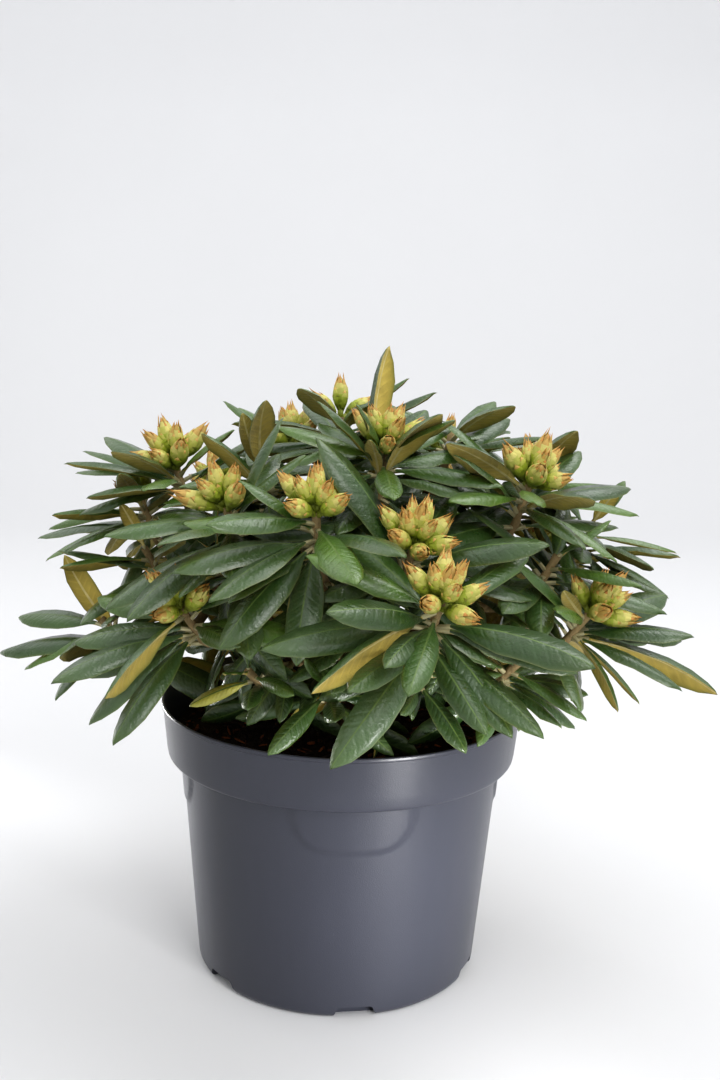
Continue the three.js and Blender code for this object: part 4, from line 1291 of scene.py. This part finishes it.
def build_soil(settings):
    """The peat: rings of a disc, roughened, with its edge turned down and closed underneath."""
    edge = SOIL_HIGH.x - SOIL_GROOVE
    piece = start(
        "peat",
        bpy.ops.mesh.primitive_circle_add,
        vertices=SOIL_SIDES,
        radius=edge,
        fill_type="NGON",
        location=(0, 0, settings.level - settings.edge_drop),
    )
    settle(piece)
    bpy.ops.object.mode_set(mode="EDIT")
    bpy.ops.mesh.select_all(action="SELECT")
    for _ in range(SOIL_RINGS):
        bpy.ops.mesh.inset(thickness=edge / (SOIL_RINGS + 2))
    bpy.ops.mesh.select_all(action="SELECT")
    bpy.ops.mesh.subdivide(number_cuts=1)
    bpy.ops.object.mode_set(mode="OBJECT")
    for vertex in piece.data.vertices:
        reach = math.hypot(vertex.co.x, vertex.co.y)
        lumps = noise.fractal(vertex.co * LUMP_DENSITY, 0.8, 2.1, 4) * LUMP_HEIGHT
        rough = lumps + noise.noise(vertex.co * GRAIN_DENSITY) * GRAIN_HEIGHT
        calm = min(1, (edge - reach) / CALM_WIDTH + CALM_SHARE)
        vertex.co.z = soil_top(reach, settings) + rough * calm - SOIL_SINK
    bpy.ops.object.mode_set(mode="EDIT")
    bpy.ops.mesh.select_all(action="DESELECT")
    bpy.ops.mesh.select_mode(type="EDGE")
    bpy.ops.mesh.select_non_manifold()
    for drop, factor in SOIL_SKIRT:
        bpy.ops.mesh.extrude_edges_move(TRANSFORM_OT_translate={"value": (0, 0, -drop)})
        bpy.ops.transform.resize(value=(factor, factor, 1), center_override=(0, 0, 0))
    bpy.ops.mesh.edge_face_add()
    bpy.ops.mesh.select_all(action="SELECT")
    bpy.ops.mesh.normals_make_consistent(inside=False)
    bpy.ops.object.mode_set(mode="OBJECT")
    bpy.ops.object.shade_smooth()
    dress(piece, peat_finish("moist peat", settings.peat))
    piece_done(piece, ["soil"])


def build_chips(settings):
    """Bits of bark and coarse peat, thrown on the soil and half sunk in it."""
    joined = Joined()
    draw = draws(CHIP_SEED)
    for _ in range(settings.chips):
        reach = CHIP_REACH[0] + CHIP_REACH[1] * math.sqrt(draw())
        place = polar(360 * draw(), reach, soil_top(reach, settings) + CHIP_LIFT * draw())
        length = lerp(*CHIP_LENGTH, draw() ** 2)
        width = lerp(*CHIP_WIDTH, draw())
        thick = lerp(*CHIP_THICKNESS, draw())
        turn = Matrix.Rotation(2 * math.pi * draw(), 3, "Z")
        turn = turn @ Matrix.Rotation(CHIP_TILT * (draw() - 0.5), 3, "Y")
        points = []
        for along, narrow in CHIP_SECTIONS:
            for across, up in CHIP_CORNERS:
                jolt = 1 + CHIP_JOLT * (draw() - 0.5)
                local = Vector((along * length, across * narrow * width * jolt, (up - CHIP_FOOT) * thick))
                points.append(place + turn @ local)
        faces = loft_faces(len(CHIP_SECTIONS), len(CHIP_CORNERS))
        kind = int((3 if length > LONG_CHIP else 2) * draw())
        joined.add(points, faces, [kind] * len(faces))
    peat, chip = settings.peat, settings.chip
    colours = (shade(peat, 2.0), blended(peat, chip, 0.35), chip)
    names = ("coarse peat", "old bark chips", "fresh bark chips")
    piece = joined.build("bark_chips", [bark_finish(name, bark) for name, bark in zip(names, colours)])
    piece_done(piece, [])


# ---------------------------------------------------------------- wood

STEM_RADII = (0.0052, 0.005, 0.0042)
STEM_SINK = 0.002  # how far the stem of a mass runs back into its bough
TWIG_RADII = (0.0037, 0.0029)
TWIG_STEPS = 14
TWIG_CURVED = 0.75  # share of a twig up to its straight neck
TWIG_WANDER = 0.0006
TWIG_KNOBS = 0.0003  # how much a twig's radius varies
SCAR_EVERY, SCAR_HEIGHT = 4, 0.0005
SPRIG_GIRTH = 0.62  # of a twig's
WOOD_STEPS = 10
TRUNK_SINK, TRUNK_OVER = 3, 4  # millimetres that the trunk runs on into the peat and over its fork
TRUNK_SIDES, BOUGH_SIDES, TWIG_SIDES = 12, 10, 8
CRACKS_ROUND, CRACKS_ALONG, FLAKES = 240, 70, 320  # densities of the bark's cracks and flakes


def limb(name, points, radii, sides):
    """A tapering limb along a curve, turned into a mesh with closed ends."""
    only(None)
    bpy.ops.curve.primitive_bezier_curve_add()
    piece = bpy.context.active_object
    piece.name = name
    curve = piece.data
    curve.splines.clear()
    spline = curve.splines.new("POLY")
    spline.points.add(len(points) - 1)
    for target, place, radius in zip(spline.points, points, radii):
        target.co = (*place, 1)
        target.radius = radius
    curve.bevel_depth = 1.0
    curve.bevel_resolution = max(1, sides // 2 - 1)
    curve.use_fill_caps = True
    only(piece)
    bpy.ops.object.convert(target="MESH")
    return bpy.context.active_object


def build_wood(plant, wood):
    """Trunk and boughs run into one, with the relief of the bark."""
    shares = [i / WOOD_STEPS for i in range(WOOD_STEPS + 1)]
    low, high = SOIL_HIGH.z / MM - TRUNK_SINK, TRUNK_TOP + TRUNK_OVER
    trunk = [trunk_axis(lerp(low, high, share)) for share in shares]
    flare = TRUNK_FLARE_RADIUS - TRUNK_RADIUS
    radii = [
        (lerp(TRUNK_RADIUS, TRUNK_TOP_RADIUS, share) + flare * (1 - share) ** 6) * MM for share in shares
    ]
    pieces = [limb("trunk", trunk, radii, TRUNK_SIDES)]
    for mass in plant.masses:
        points = [bezier(mass.root, mass.elbow, mass.point, share) for share in shares]
        radii = [lerp(BOUGH_ROOT_RADIUS, BOUGH_TIP_RADIUS, share) * MM for share in shares]
        pieces.append(limb("bough", points, radii, BOUGH_SIDES))
    only(pieces[0])
    for piece in pieces:
        piece.select_set(True)
    bpy.ops.object.join()
    piece = bpy.context.active_object
    piece.name = piece.data.name = "trunk_and_boughs"
    remesh = piece.modifiers.new("join", "REMESH")
    remesh.mode, remesh.voxel_size = "VOXEL", wood.voxel
    smooth = piece.modifiers.new("ease", "SMOOTH")
    smooth.factor, smooth.iterations = 0.5, 3
    apply_modifiers(piece)
    mesh = piece.data
    normals = [vertex.normal.copy() for vertex in mesh.vertices]
    for vertex, normal in zip(mesh.vertices, normals):
        place = vertex.co
        stretched = Vector((place.x * CRACKS_ROUND, place.y * CRACKS_ROUND, place.z * CRACKS_ALONG))
        ridge = 1 - abs(noise.noise(stretched)) * 2.2
        flakes = noise.fractal(place * FLAKES, 0.7, 2.0, 3)
        vertex.co = place + normal * wood.relief * (0.55 * ridge + 0.45 * flakes - 0.2)
    only(piece)
    bpy.ops.object.shade_smooth()
    dress(piece, bark_finish("old bark", wood.bark))
    piece_done(piece, ["trunk", *nodes_named("bough_")])


def build_twigs(plant, wood):
    """The stem of each mass and the twigs that leave it, with rings of old scale scars."""
    joined = Joined()

    def tube(points, radii, kind):
        shape = tube_points(points, radii, TWIG_SIDES)
        faces = loft_faces(len(points), TWIG_SIDES)
        joined.add(shape, faces, [kind] * len(faces))

    for mass in plant.masses:
        low, high = mass.stem
        tube([low - mass.heading * STEM_SINK, low, high], STEM_RADII, 0)
        for shoot in [*mass.shoots, *(sprig for sprig in plant.sprigs if sprig.mass is mass)]:
            points, radii = [], []
            draw = draws(shoot.seed + 70)
            for i in range(TWIG_STEPS + 1):
                along = i / TWIG_STEPS
                if along < TWIG_CURVED:
                    place = bezier(*shoot.curve, along / TWIG_CURVED)
                else:
                    place = shoot.curve[2].lerp(shoot.tip, (along - TWIG_CURVED) / (1 - TWIG_CURVED))
                wander = TWIG_WANDER if 0 < i < TWIG_STEPS - 3 else 0
                place = place + Vector([wander * (2 * draw() - 1) for _ in range(3)])
                points.append(place)
                scar = SCAR_HEIGHT if i % SCAR_EVERY == SCAR_EVERY // 2 else 0
                thin = SPRIG_GIRTH if isinstance(shoot, Sprig) else 1
                radii.append((lerp(*TWIG_RADII, along) + scar) * thin + TWIG_KNOBS * (draw() - 0.5))
            tube(points, radii, 1)
    materials = [bark_finish("stem bark", wood.bark), bark_finish("young wood", wood.twig)]
    piece = joined.build("twigs", materials)
    piece_done(piece, nodes_named("leaves_"))


# ---------------------------------------------------------------- leaves

BLADE_FROM = 0.12  # share of a leaf's length where its stalk ends
STATIONS = (0, BLADE_FROM, 0.18, 0.3, 0.45, 0.61, 0.77, 0.9, 0.968)
ACROSS = (-1, -0.65, -0.05, 0.05, 0.65, 1)  # over the upper side, and back along the underside
UNDER_ACROSS = (0.65, 0.05, -0.05, -0.65)
SIDES = len(ACROSS) + len(UNDER_ACROSS)
TOP, MIDRIB, UNDER, UNDER_RIB, STALK = range(5)
GREEN, DARK, GREY, BRIGHT, PALE, TAN, RUST, RIB_FINISH, STALK_FINISH, UNDER_RIB_FINISH = range(10)
OLD, YOUNG, YOUNGEST = 0.35, 0.75, 0.9  # ages by which a leaf takes its colours
STALK_HALF_WIDTH, TIP_HALF_WIDTH = 0.0023, 0.0009
STALK_FADE = (0.1, 0.08)  # shares of a leaf: where its stalk starts to widen, and over what length
STALK_RISE, STALK_DROP = 0.0014, 0.0013  # how far the stalk is rounded above and below
RIB_WIDTHS = (0.0009, 0.0003)  # half the midrib's width, at the foot of a leaf and at its point
RIB_DEPTH = 0.0011  # of the midrib on the underside
RIB_SINK, RIB_SINK_WIDTH = 0.30, 0.22  # slope at the midrib, and the share of a half that slopes
CURL_FROM = 0.2  # share of the way to the margin where a blade starts to curl down
LEAF_TWIST, LEAF_SIDEWAYS = 22, 0.07  # ranges of the twist in degrees and of the bend to a side
LEAF_RIPPLE, RIPPLE_DENSITY, RIPPLE_SHIFT = 0.0012, 15, 1.5
LEAF_CURL = (1.1, 2.0)  # least and most slope of a margin
LEAF_BREADTH = (0.46, 0.57)  # least and most half width of a blade, as shares of its full width
LEAF_SEED = 9000


def blade_outline(along):
    """Half the width of a finished blade: a wedge at its foot and a round end with a small point."""
    foot, widest = 0.13, 0.56
    if along <= foot:
        return 0.0
    if along < widest:
        return 1 - ((widest - along) / (widest - foot)) ** 2.2
    return 1 - ((along - widest) / (1 - widest)) ** 3.3


def section(curl):
    """A half section of a blade, sunk along the midrib and curling down to its margin.

    It gives reach and height at a share of the way from midrib to margin, for a half width of 1.
    """
    table = [(0.0, 0.0)]
    steps = 40
    for i in range(steps):
        share = (i + 0.5) / steps
        sinking = max(0, 1 - share / RIB_SINK_WIDTH)
        slope = -RIB_SINK * sinking + curl * max(0, (share - CURL_FROM) / (1 - CURL_FROM)) ** 1.4
        reach, height = table[-1]
        table.append((reach + math.cos(slope) / steps, height - math.sin(slope) / steps))
    places, heights = zip(*table)
    shares = [i / steps for i in range(steps + 1)]

    def at(share):
        return float(np.interp(share, shares, places)), float(np.interp(share, shares, heights))

    return at


def leaf_faces():
    """Faces of every leaf, and what each one is: top, underside, either side of the midrib or stalk."""
    faces = loft_faces(len(STATIONS), SIDES, tip=True)
    kinds = [STALK]
    round_blade = [TOP, TOP, MIDRIB, TOP, TOP, UNDER, UNDER, UNDER_RIB, UNDER, UNDER]
    for station in STATIONS:
        kinds += [STALK] * SIDES if station < BLADE_FROM else round_blade
    return faces, kinds


def leaf_points(leaf, settings, draw):
    """Points and UVs of one leaf: an arc with a sunk midrib and margins that curl down."""
    twist = math.radians(LEAF_TWIST * (draw() - 0.5))
    sideways = LEAF_SIDEWAYS * (draw() - 0.5)
    ripple, phase = LEAF_RIPPLE * draw(), 6.28 * draw()
    shape = section(lerp(*LEAF_CURL, draw()))
    breadth = leaf.width * lerp(*LEAF_BREADTH, draw())
    level_side = leaf.upper.cross(leaf.heading)
    points, uvs = [], []
    for along in (*STATIONS, 1):
        turn = leaf.bend * along
        centre = (
            leaf.foot
            + leaf.heading * (leaf.length * math.sin(turn) / leaf.bend)
            - leaf.upper * (leaf.length * (1 - math.cos(turn)) / leaf.bend)
            + level_side * (sideways * leaf.length * along * (1 - along) * 2)
        )
        upper = leaf.upper * math.cos(turn) + leaf.heading * math.sin(turn)
        tangent = leaf.heading * math.cos(turn) - leaf.upper * math.sin(turn)
        spin = Matrix.Rotation(twist * (along - STALK_FADE[0]), 3, tangent)
        upper, side = spin @ upper, spin @ level_side
        if along == 1:
            points.append(centre - upper * 0.001)
            uvs.append((0.5, 1.0))
            break
        outline = blade_outline(along)
        stalk = max(0.0, 1 - max(0.0, along - STALK_FADE[0]) / STALK_FADE[1])
        half = max(outline * breadth, lerp(TIP_HALF_WIDTH, STALK_HALF_WIDTH, stalk))
        blade = 1 - stalk
        rib = min(lerp(*RIB_WIDTHS, along) / half, 0.4)

        def surface(share):
            """Reach and height of the upper side at a share of the way from midrib to margin."""
            reach, height = shape(abs(share))
            height = height * half * blade + stalk * STALK_RISE * math.sqrt(max(0, 1 - share * share))
            shift = RIPPLE_SHIFT if share > 0 else 0
            wave = math.sin(RIPPLE_DENSITY * along + phase + shift) * share * share * outline
            return math.copysign(reach * half, share), height + ripple * wave * blade

        for across in ACROSS:
            share = across if abs(across) > 0.1 else math.copysign(rib, across)
            reach, height = surface(share)
            points.append(centre - side * reach + upper * height)
            uvs.append((0.5 + 0.5 * share, along))
        for across in UNDER_ACROSS:
            at_rib = abs(across) < 0.1
            share = math.copysign(min(1.6 * rib, 0.45), across) if at_rib else across
            reach, height = surface(share)
            height -= settings.thickness + RIB_DEPTH * at_rib * (1.1 - along)
            height -= stalk * STALK_DROP * math.sqrt(1 - share * share)
            points.append(centre - side * reach * 0.97 + upper * height)
            uvs.append((0.5 + 0.5 * share, along))
    return points, uvs


def leaf_colours(leaf, fading, chance):
    """The green of a leaf's upper side and the felt of its underside, by its age and by chance."""
    if fading:
        top = PALE
    elif leaf.age > YOUNG:
        top = BRIGHT if chance < 0.4 else GREEN
    elif leaf.age < OLD:
        top = DARK if chance < 0.5 else GREY
    else:
        top = (GREEN, GREEN, GREY, BRIGHT, DARK)[int(chance * 5)]
    under = TAN if leaf.age < YOUNGEST or chance < 0.5 else RUST
    return {TOP: top, UNDER: under, MIDRIB: RIB_FINISH, UNDER_RIB: UNDER_RIB_FINISH, STALK: STALK_FINISH}


def build_leaves(plant, settings):
    """All leaves as one mesh. Each leaf takes its green and its felt whole."""
    faces, parts = leaf_faces()
    margins = [1, *[0] * (len(ACROSS) - 2), 2, *[0] * len(UNDER_ACROSS)] * len(STATIONS) + [0]
    joined = Joined()
    shoots = plant.shoots + plant.sprigs
    grown = [(leaf, shoot, order) for shoot in shoots for order, leaf in enumerate(shoot.grown)]
    for number, (leaf, shoot, order) in enumerate(grown):
        draw = draws(LEAF_SEED + number)
        points, uvs = leaf_points(leaf, settings, draw)
        colours = leaf_colours(leaf, order == FADING_LEAVES.get(shoot.key), draw())
        joined.add(points, faces, [colours[part] for part in parts], uvs, draw(), margins)
    materials = [  # in the order of their names above
        leaf_finish("leaf green", settings.green),
        leaf_finish("leaf dark", settings.dark),
        leaf_finish("leaf grey", settings.grey),
        leaf_finish("leaf bright", settings.bright),
        leaf_finish("leaf pale", settings.pale),
        felt_finish("felt tan", settings.felt),
        felt_finish("felt rust", settings.rust),
        stalk_finish("midrib", settings.midrib),
        stalk_finish("leaf stalk", settings.stalk),
        stalk_finish("underside midrib", blended(settings.felt, FELT_MIDRIB, 0.5)),
    ]
    piece = joined.build("leaves", materials)
    piece_done(piece, nodes_named("leaves_"))


# ---------------------------------------------------------------- buds

BUD_BODY = ((0, 0.3), (0.1, 0.62), (0.26, 0.9), (0.42, 1.0), (0.6, 0.95), (0.78, 0.7), (0.92, 0.38))
SCALE_ALONG = ((0, 0.85), (0.36, 1.0), (0.66, 0.8), (0.88, 0.4))
BUD_BANDS = (0.13, 0.42, 0.66, 0.83)  # shares of a bud's length where its next colour starts
OCHRE, POINT = 4, 5  # colours of the dry end of a scale, low on the bud and at its top
BUD_FLUSH = 0.2  # range of how far up or down a bud is coloured, as a share of its length
BUD_STALK, BUD_STALK_RADII = 0.0075, (0.0021, 0.0025)
BUD_CORE = 0.93  # radius of the core under the scales, as a share of the bud's
BUD_GIRTH = (0.88, 1.1)
BUD_SIDES = 8
BUD_TURN_STEP = 67
BUD_SEED = 5000
SCALE_LOW = (-0.06, 0.44)  # where the lowest and the highest scale start, as shares of a bud's length
SCALE_REACH = (0.44, 0.62)
SCALE_SPREAD = (50, 34)  # half the angle that a scale spans
SCALE_FLARE = (0.0001, 0.0013)
SCALE_GAP, SCALE_EDGE, SCALE_ARCH = 0.0002, 0.0001, 0.0005  # from the bud to a margin, and its arch
SCALE_BACK = 0.0003  # how far the back of a scale reaches in
SCALE_ACROSS = ((-1, 1), (-0.5, 0), (0, 0), (0.5, 0), (1, 2))  # places, and 1 or 2 on a sharp margin


def bud_radius(rise):
    """Radius of a bud at a share of its length, as a share of its full radius."""
    places, radii = zip(*BUD_BODY)
    return float(np.interp(rise, (*places, 1.1), (*radii, 0.1)))


def bud_band(rise):
    """The colour of a face by its height on the bud."""
    return sum(rise > edge for edge in BUD_BANDS)


def add_bud(joined, foot, axis, size, turn, settings, draw):
    """A short stalk, a plain core and pointed scales that wrap it in a rising spiral."""
    across, along = cross_axes(axis)
    length, radius = settings.length * size, settings.radius * size * lerp(*BUD_GIRTH, draw())
    stalk = BUD_STALK * size
    base = foot + axis * stalk

    def place(rise, angle, reach):
        level = across * math.cos(angle) + along * math.sin(angle)
        return base + axis * rise * length + level * reach

    core = list(zip((-stalk / length, -0.02), BUD_STALK_RADII))
    core += [(rise, share * radius * BUD_CORE) for rise, share in BUD_BODY]
    flush = BUD_FLUSH * (draw() - 0.45)
    rings = [
        place(rise, 2 * math.pi * i / BUD_SIDES, reach) for rise, reach in core for i in range(BUD_SIDES)
    ]
    faces = loft_faces(len(core), BUD_SIDES, tip=True)
    rings.append(place(1.02, 0, 0))
    kinds = [0] + [bud_band(rise + flush) for rise, _ in core for _ in range(BUD_SIDES)]
    joined.add(rings, faces, kinds, tone=draw())
    for number in range(settings.scales):
        share_up = number / (settings.scales - 1)
        low = lerp(*SCALE_LOW, share_up**0.85)
        reach_up = lerp(*SCALE_REACH, min(1, share_up * 1.6)) + 0.1 * draw()
        angle = math.radians(turn + number * WHORL_STEP)
        spread = math.radians(lerp(*SCALE_SPREAD, share_up))
        flare = lerp(*SCALE_FLARE, draw()) * (0.6 + 0.6 * share_up)
        points, uvs, marks = [], [], []
        for share, width in SCALE_ALONG:
            rise = low + reach_up * share
            body = bud_radius(rise) * radius + SCALE_GAP + flare * share**4
            for side, mark in SCALE_ACROSS:
                lift = SCALE_ARCH * (1 - side * side) + SCALE_EDGE
                points.append(place(rise, angle + side * spread * width, body + lift))
                uvs.append((0.5 + 0.5 * side, share))
                marks.append(mark)
            points.append(place(rise, angle, body - SCALE_BACK))
            uvs.append((0.5, share))
            marks.append(0)
        top = low + reach_up
        points.append(place(top + 0.02 + 0.05 * draw(), angle, bud_radius(top) * radius + flare * 1.2))
        uvs.append((0.5, 1.0))
        marks.append(0)
        sides = len(SCALE_ACROSS) + 1
        faces = loft_faces(len(SCALE_ALONG), sides, tip=True)
        kinds = [0]
        for ring, (share, _) in enumerate(SCALE_ALONG):
            kind = bud_band(low + reach_up * (share + 0.14) + 0.08 * (draw() - 0.5) + flush)
            if ring == len(SCALE_ALONG) - 1:
                kind = POINT if top > 0.8 else OCHRE
            kinds += [kind] * sides
        joined.add(points, faces, kinds, uvs, draw(), marks)


def build_buds(plant, settings):
    """All flower buds as one mesh, in bands of colour from foot to point."""
    joined = Joined()
    for number, (foot, axis, size) in enumerate(plant.buds):
        add_bud(joined, foot, axis, size, BUD_TURN_STEP * number, settings, draws(BUD_SEED + number))
    green, cream, tip = settings.green, settings.cream, settings.tip
    colours = (
        ("bud foot", shade(green, 0.8)),
        ("bud green", green),
        ("bud yellow", blended(green, cream, 0.5)),
        ("bud cream", cream),
        ("bud ochre", blended(cream, tip, 0.65)),
        ("bud point", tip),
    )
    materials = [scale_finish(name, shade(base, 0.85), shade(base, 1.12)) for name, base in colours]
    piece = joined.build("flower_buds", materials)
    piece_done(piece, nodes_named("leaves_"))


# ---------------------------------------------------------------- stage

EYE = (0, -1.0047, 0.5402)
YAW, PITCH, ROLL = 0.0106, 0.1955, 0.0282  # of the camera, in radians, the pitch downwards
SENSOR_WIDTH = 36
FLOOR_WIDTH, FLOOR_BEHIND = 24, 3.0
WALL_HEIGHT, SWEEP = 5, 1.2
SKY = (0.98, 0.99, 1.0)
LAMPS = (  # name, place, what it shines at, width and height, share of the key light's power, spread
    ("key", (0.9, 0.5, 2.1), (0, 0, 0.25), (1.3, 1.3), 1.4, 180),
    ("back", (-1.1, 0.7, 1.8), (0, 0, 0.25), (1.6, 1.6), 0.6, 180),
    ("front", (0.7, -1.5, 1.5), (0, 0, 0.3), (0.7, 0.7), 1, 180),
    ("strip", polar(33, 0.62, 0.07), (0, 0, 0.1), (0.08, 0.2), 0.042, 45),
    ("rim strip", polar(-130, 0.8, 0.08), (0, 0, 0.11), (0.12, 0.14), 0.03, 30),
)


def area_light(name, place, aim, size, power, spread):
    only(None)
    bpy.ops.object.light_add(type="AREA", location=place)
    light = bpy.context.active_object
    light.name = name
    light.rotation_euler = (Vector(aim) - Vector(place)).to_track_quat("-Z", "Y").to_euler()
    light.data.shape = "RECTANGLE"
    light.data.size, light.data.size_y = size
    light.data.energy = power
    light.data.spread = math.radians(spread)
    light.visible_camera = False


def build_camera(settings):
    """Eye height about 54 cm, 1 m away, looking 11 degrees down."""
    ahead = Vector((math.sin(YAW) * math.cos(PITCH), math.cos(YAW) * math.cos(PITCH), -math.sin(PITCH)))
    level = Vector((math.cos(YAW), -math.sin(YAW), 0))
    over = level.cross(ahead)
    right = level * math.cos(ROLL) + over * math.sin(ROLL)
    top = over * math.cos(ROLL) - level * math.sin(ROLL)
    turn = Matrix((right, top, -ahead)).transposed()
    only(None)
    bpy.ops.object.camera_add(location=EYE, rotation=turn.to_euler())
    camera = bpy.context.active_object
    camera.data.lens = settings.lens
    camera.data.sensor_width = SENSOR_WIDTH
    camera.data.clip_start = 0.02
    bpy.context.scene.camera = camera


def build_stage(settings):
    """A wide floor that sweeps up on all sides, an even light all round, and the soft lamps."""
    place = (0, FLOOR_BEHIND - FLOOR_WIDTH / 2, 0)
    floor = start("floor", bpy.ops.mesh.primitive_plane_add, size=FLOOR_WIDTH, location=place)
    settle(floor)
    bpy.ops.object.mode_set(mode="EDIT")
    bpy.ops.mesh.select_mode(type="EDGE")
    bpy.ops.mesh.select_all(action="SELECT")
    bpy.ops.mesh.extrude_edges_move(TRANSFORM_OT_translate={"value": (0, 0, WALL_HEIGHT)})
    bpy.ops.object.mode_set(mode="OBJECT")
    bevel = floor.modifiers.new("sweep", "BEVEL")
    bevel.width, bevel.segments, bevel.limit_method = SWEEP, 16, "ANGLE"
    apply_modifiers(floor)
    bpy.ops.object.shade_smooth()
    dress(floor, stage_finish("pale paper with painted shade", settings.floor))
    scene = bpy.context.scene
    scene.world = scene.world or bpy.data.worlds.new("studio")
    scene.world.use_nodes = True
    background = scene.world.node_tree.nodes["Background"]
    background.inputs["Color"].default_value = (*SKY, 1.0)
    background.inputs["Strength"].default_value = settings.light
    for name, place, aim, size, share, spread in LAMPS:
        area_light(name, place, aim, size, settings.key * share, spread)
    scene.view_settings.view_transform = "Standard"
    scene.view_settings.look = "Medium High Contrast"


# ---------------------------------------------------------------- the add-on


class Builder:
    """What the operators share: the plan of the plant is drawn up once."""

    plan = None

    @classmethod
    def plant(cls):
        if cls.plan is None:
            cls.plan = Plant()
        return cls.plan


class RHODODENDRON_OT_stage(bpy.types.Operator):
    """Lay the pale floor, and set the light and the camera"""

    bl_idname = "rhododendron.stage"
    bl_label = "Stage"

    def execute(self, context):
        build_stage(context.scene.rhododendron_stage)
        build_camera(context.scene.rhododendron_stage)
        return {"FINISHED"}


class RHODODENDRON_OT_pot(bpy.types.Operator):
    """Model the nursery pot with its band, raised panels and drainage notches"""

    bl_idname = "rhododendron.pot"
    bl_label = "Pot"

    def execute(self, context):
        build_pot(context.scene.rhododendron_pot)
        return {"FINISHED"}


class RHODODENDRON_OT_soil(bpy.types.Operator):
    """Fill the pot with peat and throw bark chips on it"""

    bl_idname = "rhododendron.soil"
    bl_label = "Soil"

    def execute(self, context):
        build_soil(context.scene.rhododendron_soil)
        build_chips(context.scene.rhododendron_soil)
        return {"FINISHED"}


class RHODODENDRON_OT_wood(bpy.types.Operator):
    """Grow trunk, boughs and twigs"""

    bl_idname = "rhododendron.wood"
    bl_label = "Wood"

    def execute(self, context):
        build_wood(Builder.plant(), context.scene.rhododendron_wood)
        build_twigs(Builder.plant(), context.scene.rhododendron_wood)
        return {"FINISHED"}


class RHODODENDRON_OT_leaves(bpy.types.Operator):
    """Grow the leaves in whorls"""

    bl_idname = "rhododendron.leaves"
    bl_label = "Leaves"

    def execute(self, context):
        build_leaves(Builder.plant(), context.scene.rhododendron_leaves)
        return {"FINISHED"}


class RHODODENDRON_OT_buds(bpy.types.Operator):
    """Set the clusters of flower buds"""

    bl_idname = "rhododendron.buds"
    bl_label = "Buds"

    def execute(self, context):
        build_buds(Builder.plant(), context.scene.rhododendron_buds)
        return {"FINISHED"}


class RHODODENDRON_PT_panel(bpy.types.Panel):
    """Sizes and colours, and a button for each piece"""

    bl_label = "Rhododendron"
    bl_idname = "RHODODENDRON_PT_panel"
    bl_space_type = "VIEW_3D"
    bl_region_type = "UI"
    bl_category = "Rhododendron"

    def draw(self, context):
        for name, operator in OPERATORS.items():
            box = self.layout.box()
            settings = getattr(context.scene, f"rhododendron_{name}")
            for key in settings.bl_rna.properties.keys():
                if key not in ("rna_type", "name"):
                    box.prop(settings, key)
            box.operator(operator.bl_idname)


OPERATORS = {
    "stage": RHODODENDRON_OT_stage,
    "pot": RHODODENDRON_OT_pot,
    "soil": RHODODENDRON_OT_soil,
    "wood": RHODODENDRON_OT_wood,
    "leaves": RHODODENDRON_OT_leaves,
    "buds": RHODODENDRON_OT_buds,
}
SETTINGS = {
    "stage": StageSettings,
    "pot": PotSettings,
    "soil": SoilSettings,
    "wood": WoodSettings,
    "leaves": LeafSettings,
    "buds": BudSettings,
}


def register():
    for kind in (*SETTINGS.values(), *OPERATORS.values(), RHODODENDRON_PT_panel):
        bpy.utils.register_class(kind)
    for name, kind in SETTINGS.items():
        setattr(bpy.types.Scene, f"rhododendron_{name}", PointerProperty(type=kind))


def unregister():
    for name in SETTINGS:
        delattr(bpy.types.Scene, f"rhododendron_{name}")
    for kind in (RHODODENDRON_PT_panel, *OPERATORS.values(), *SETTINGS.values()):
        bpy.utils.unregister_class(kind)


def main():
    register()
    for name in OPERATORS:
        getattr(bpy.ops.rhododendron, name)()


if __name__ == "__main__":
    main()
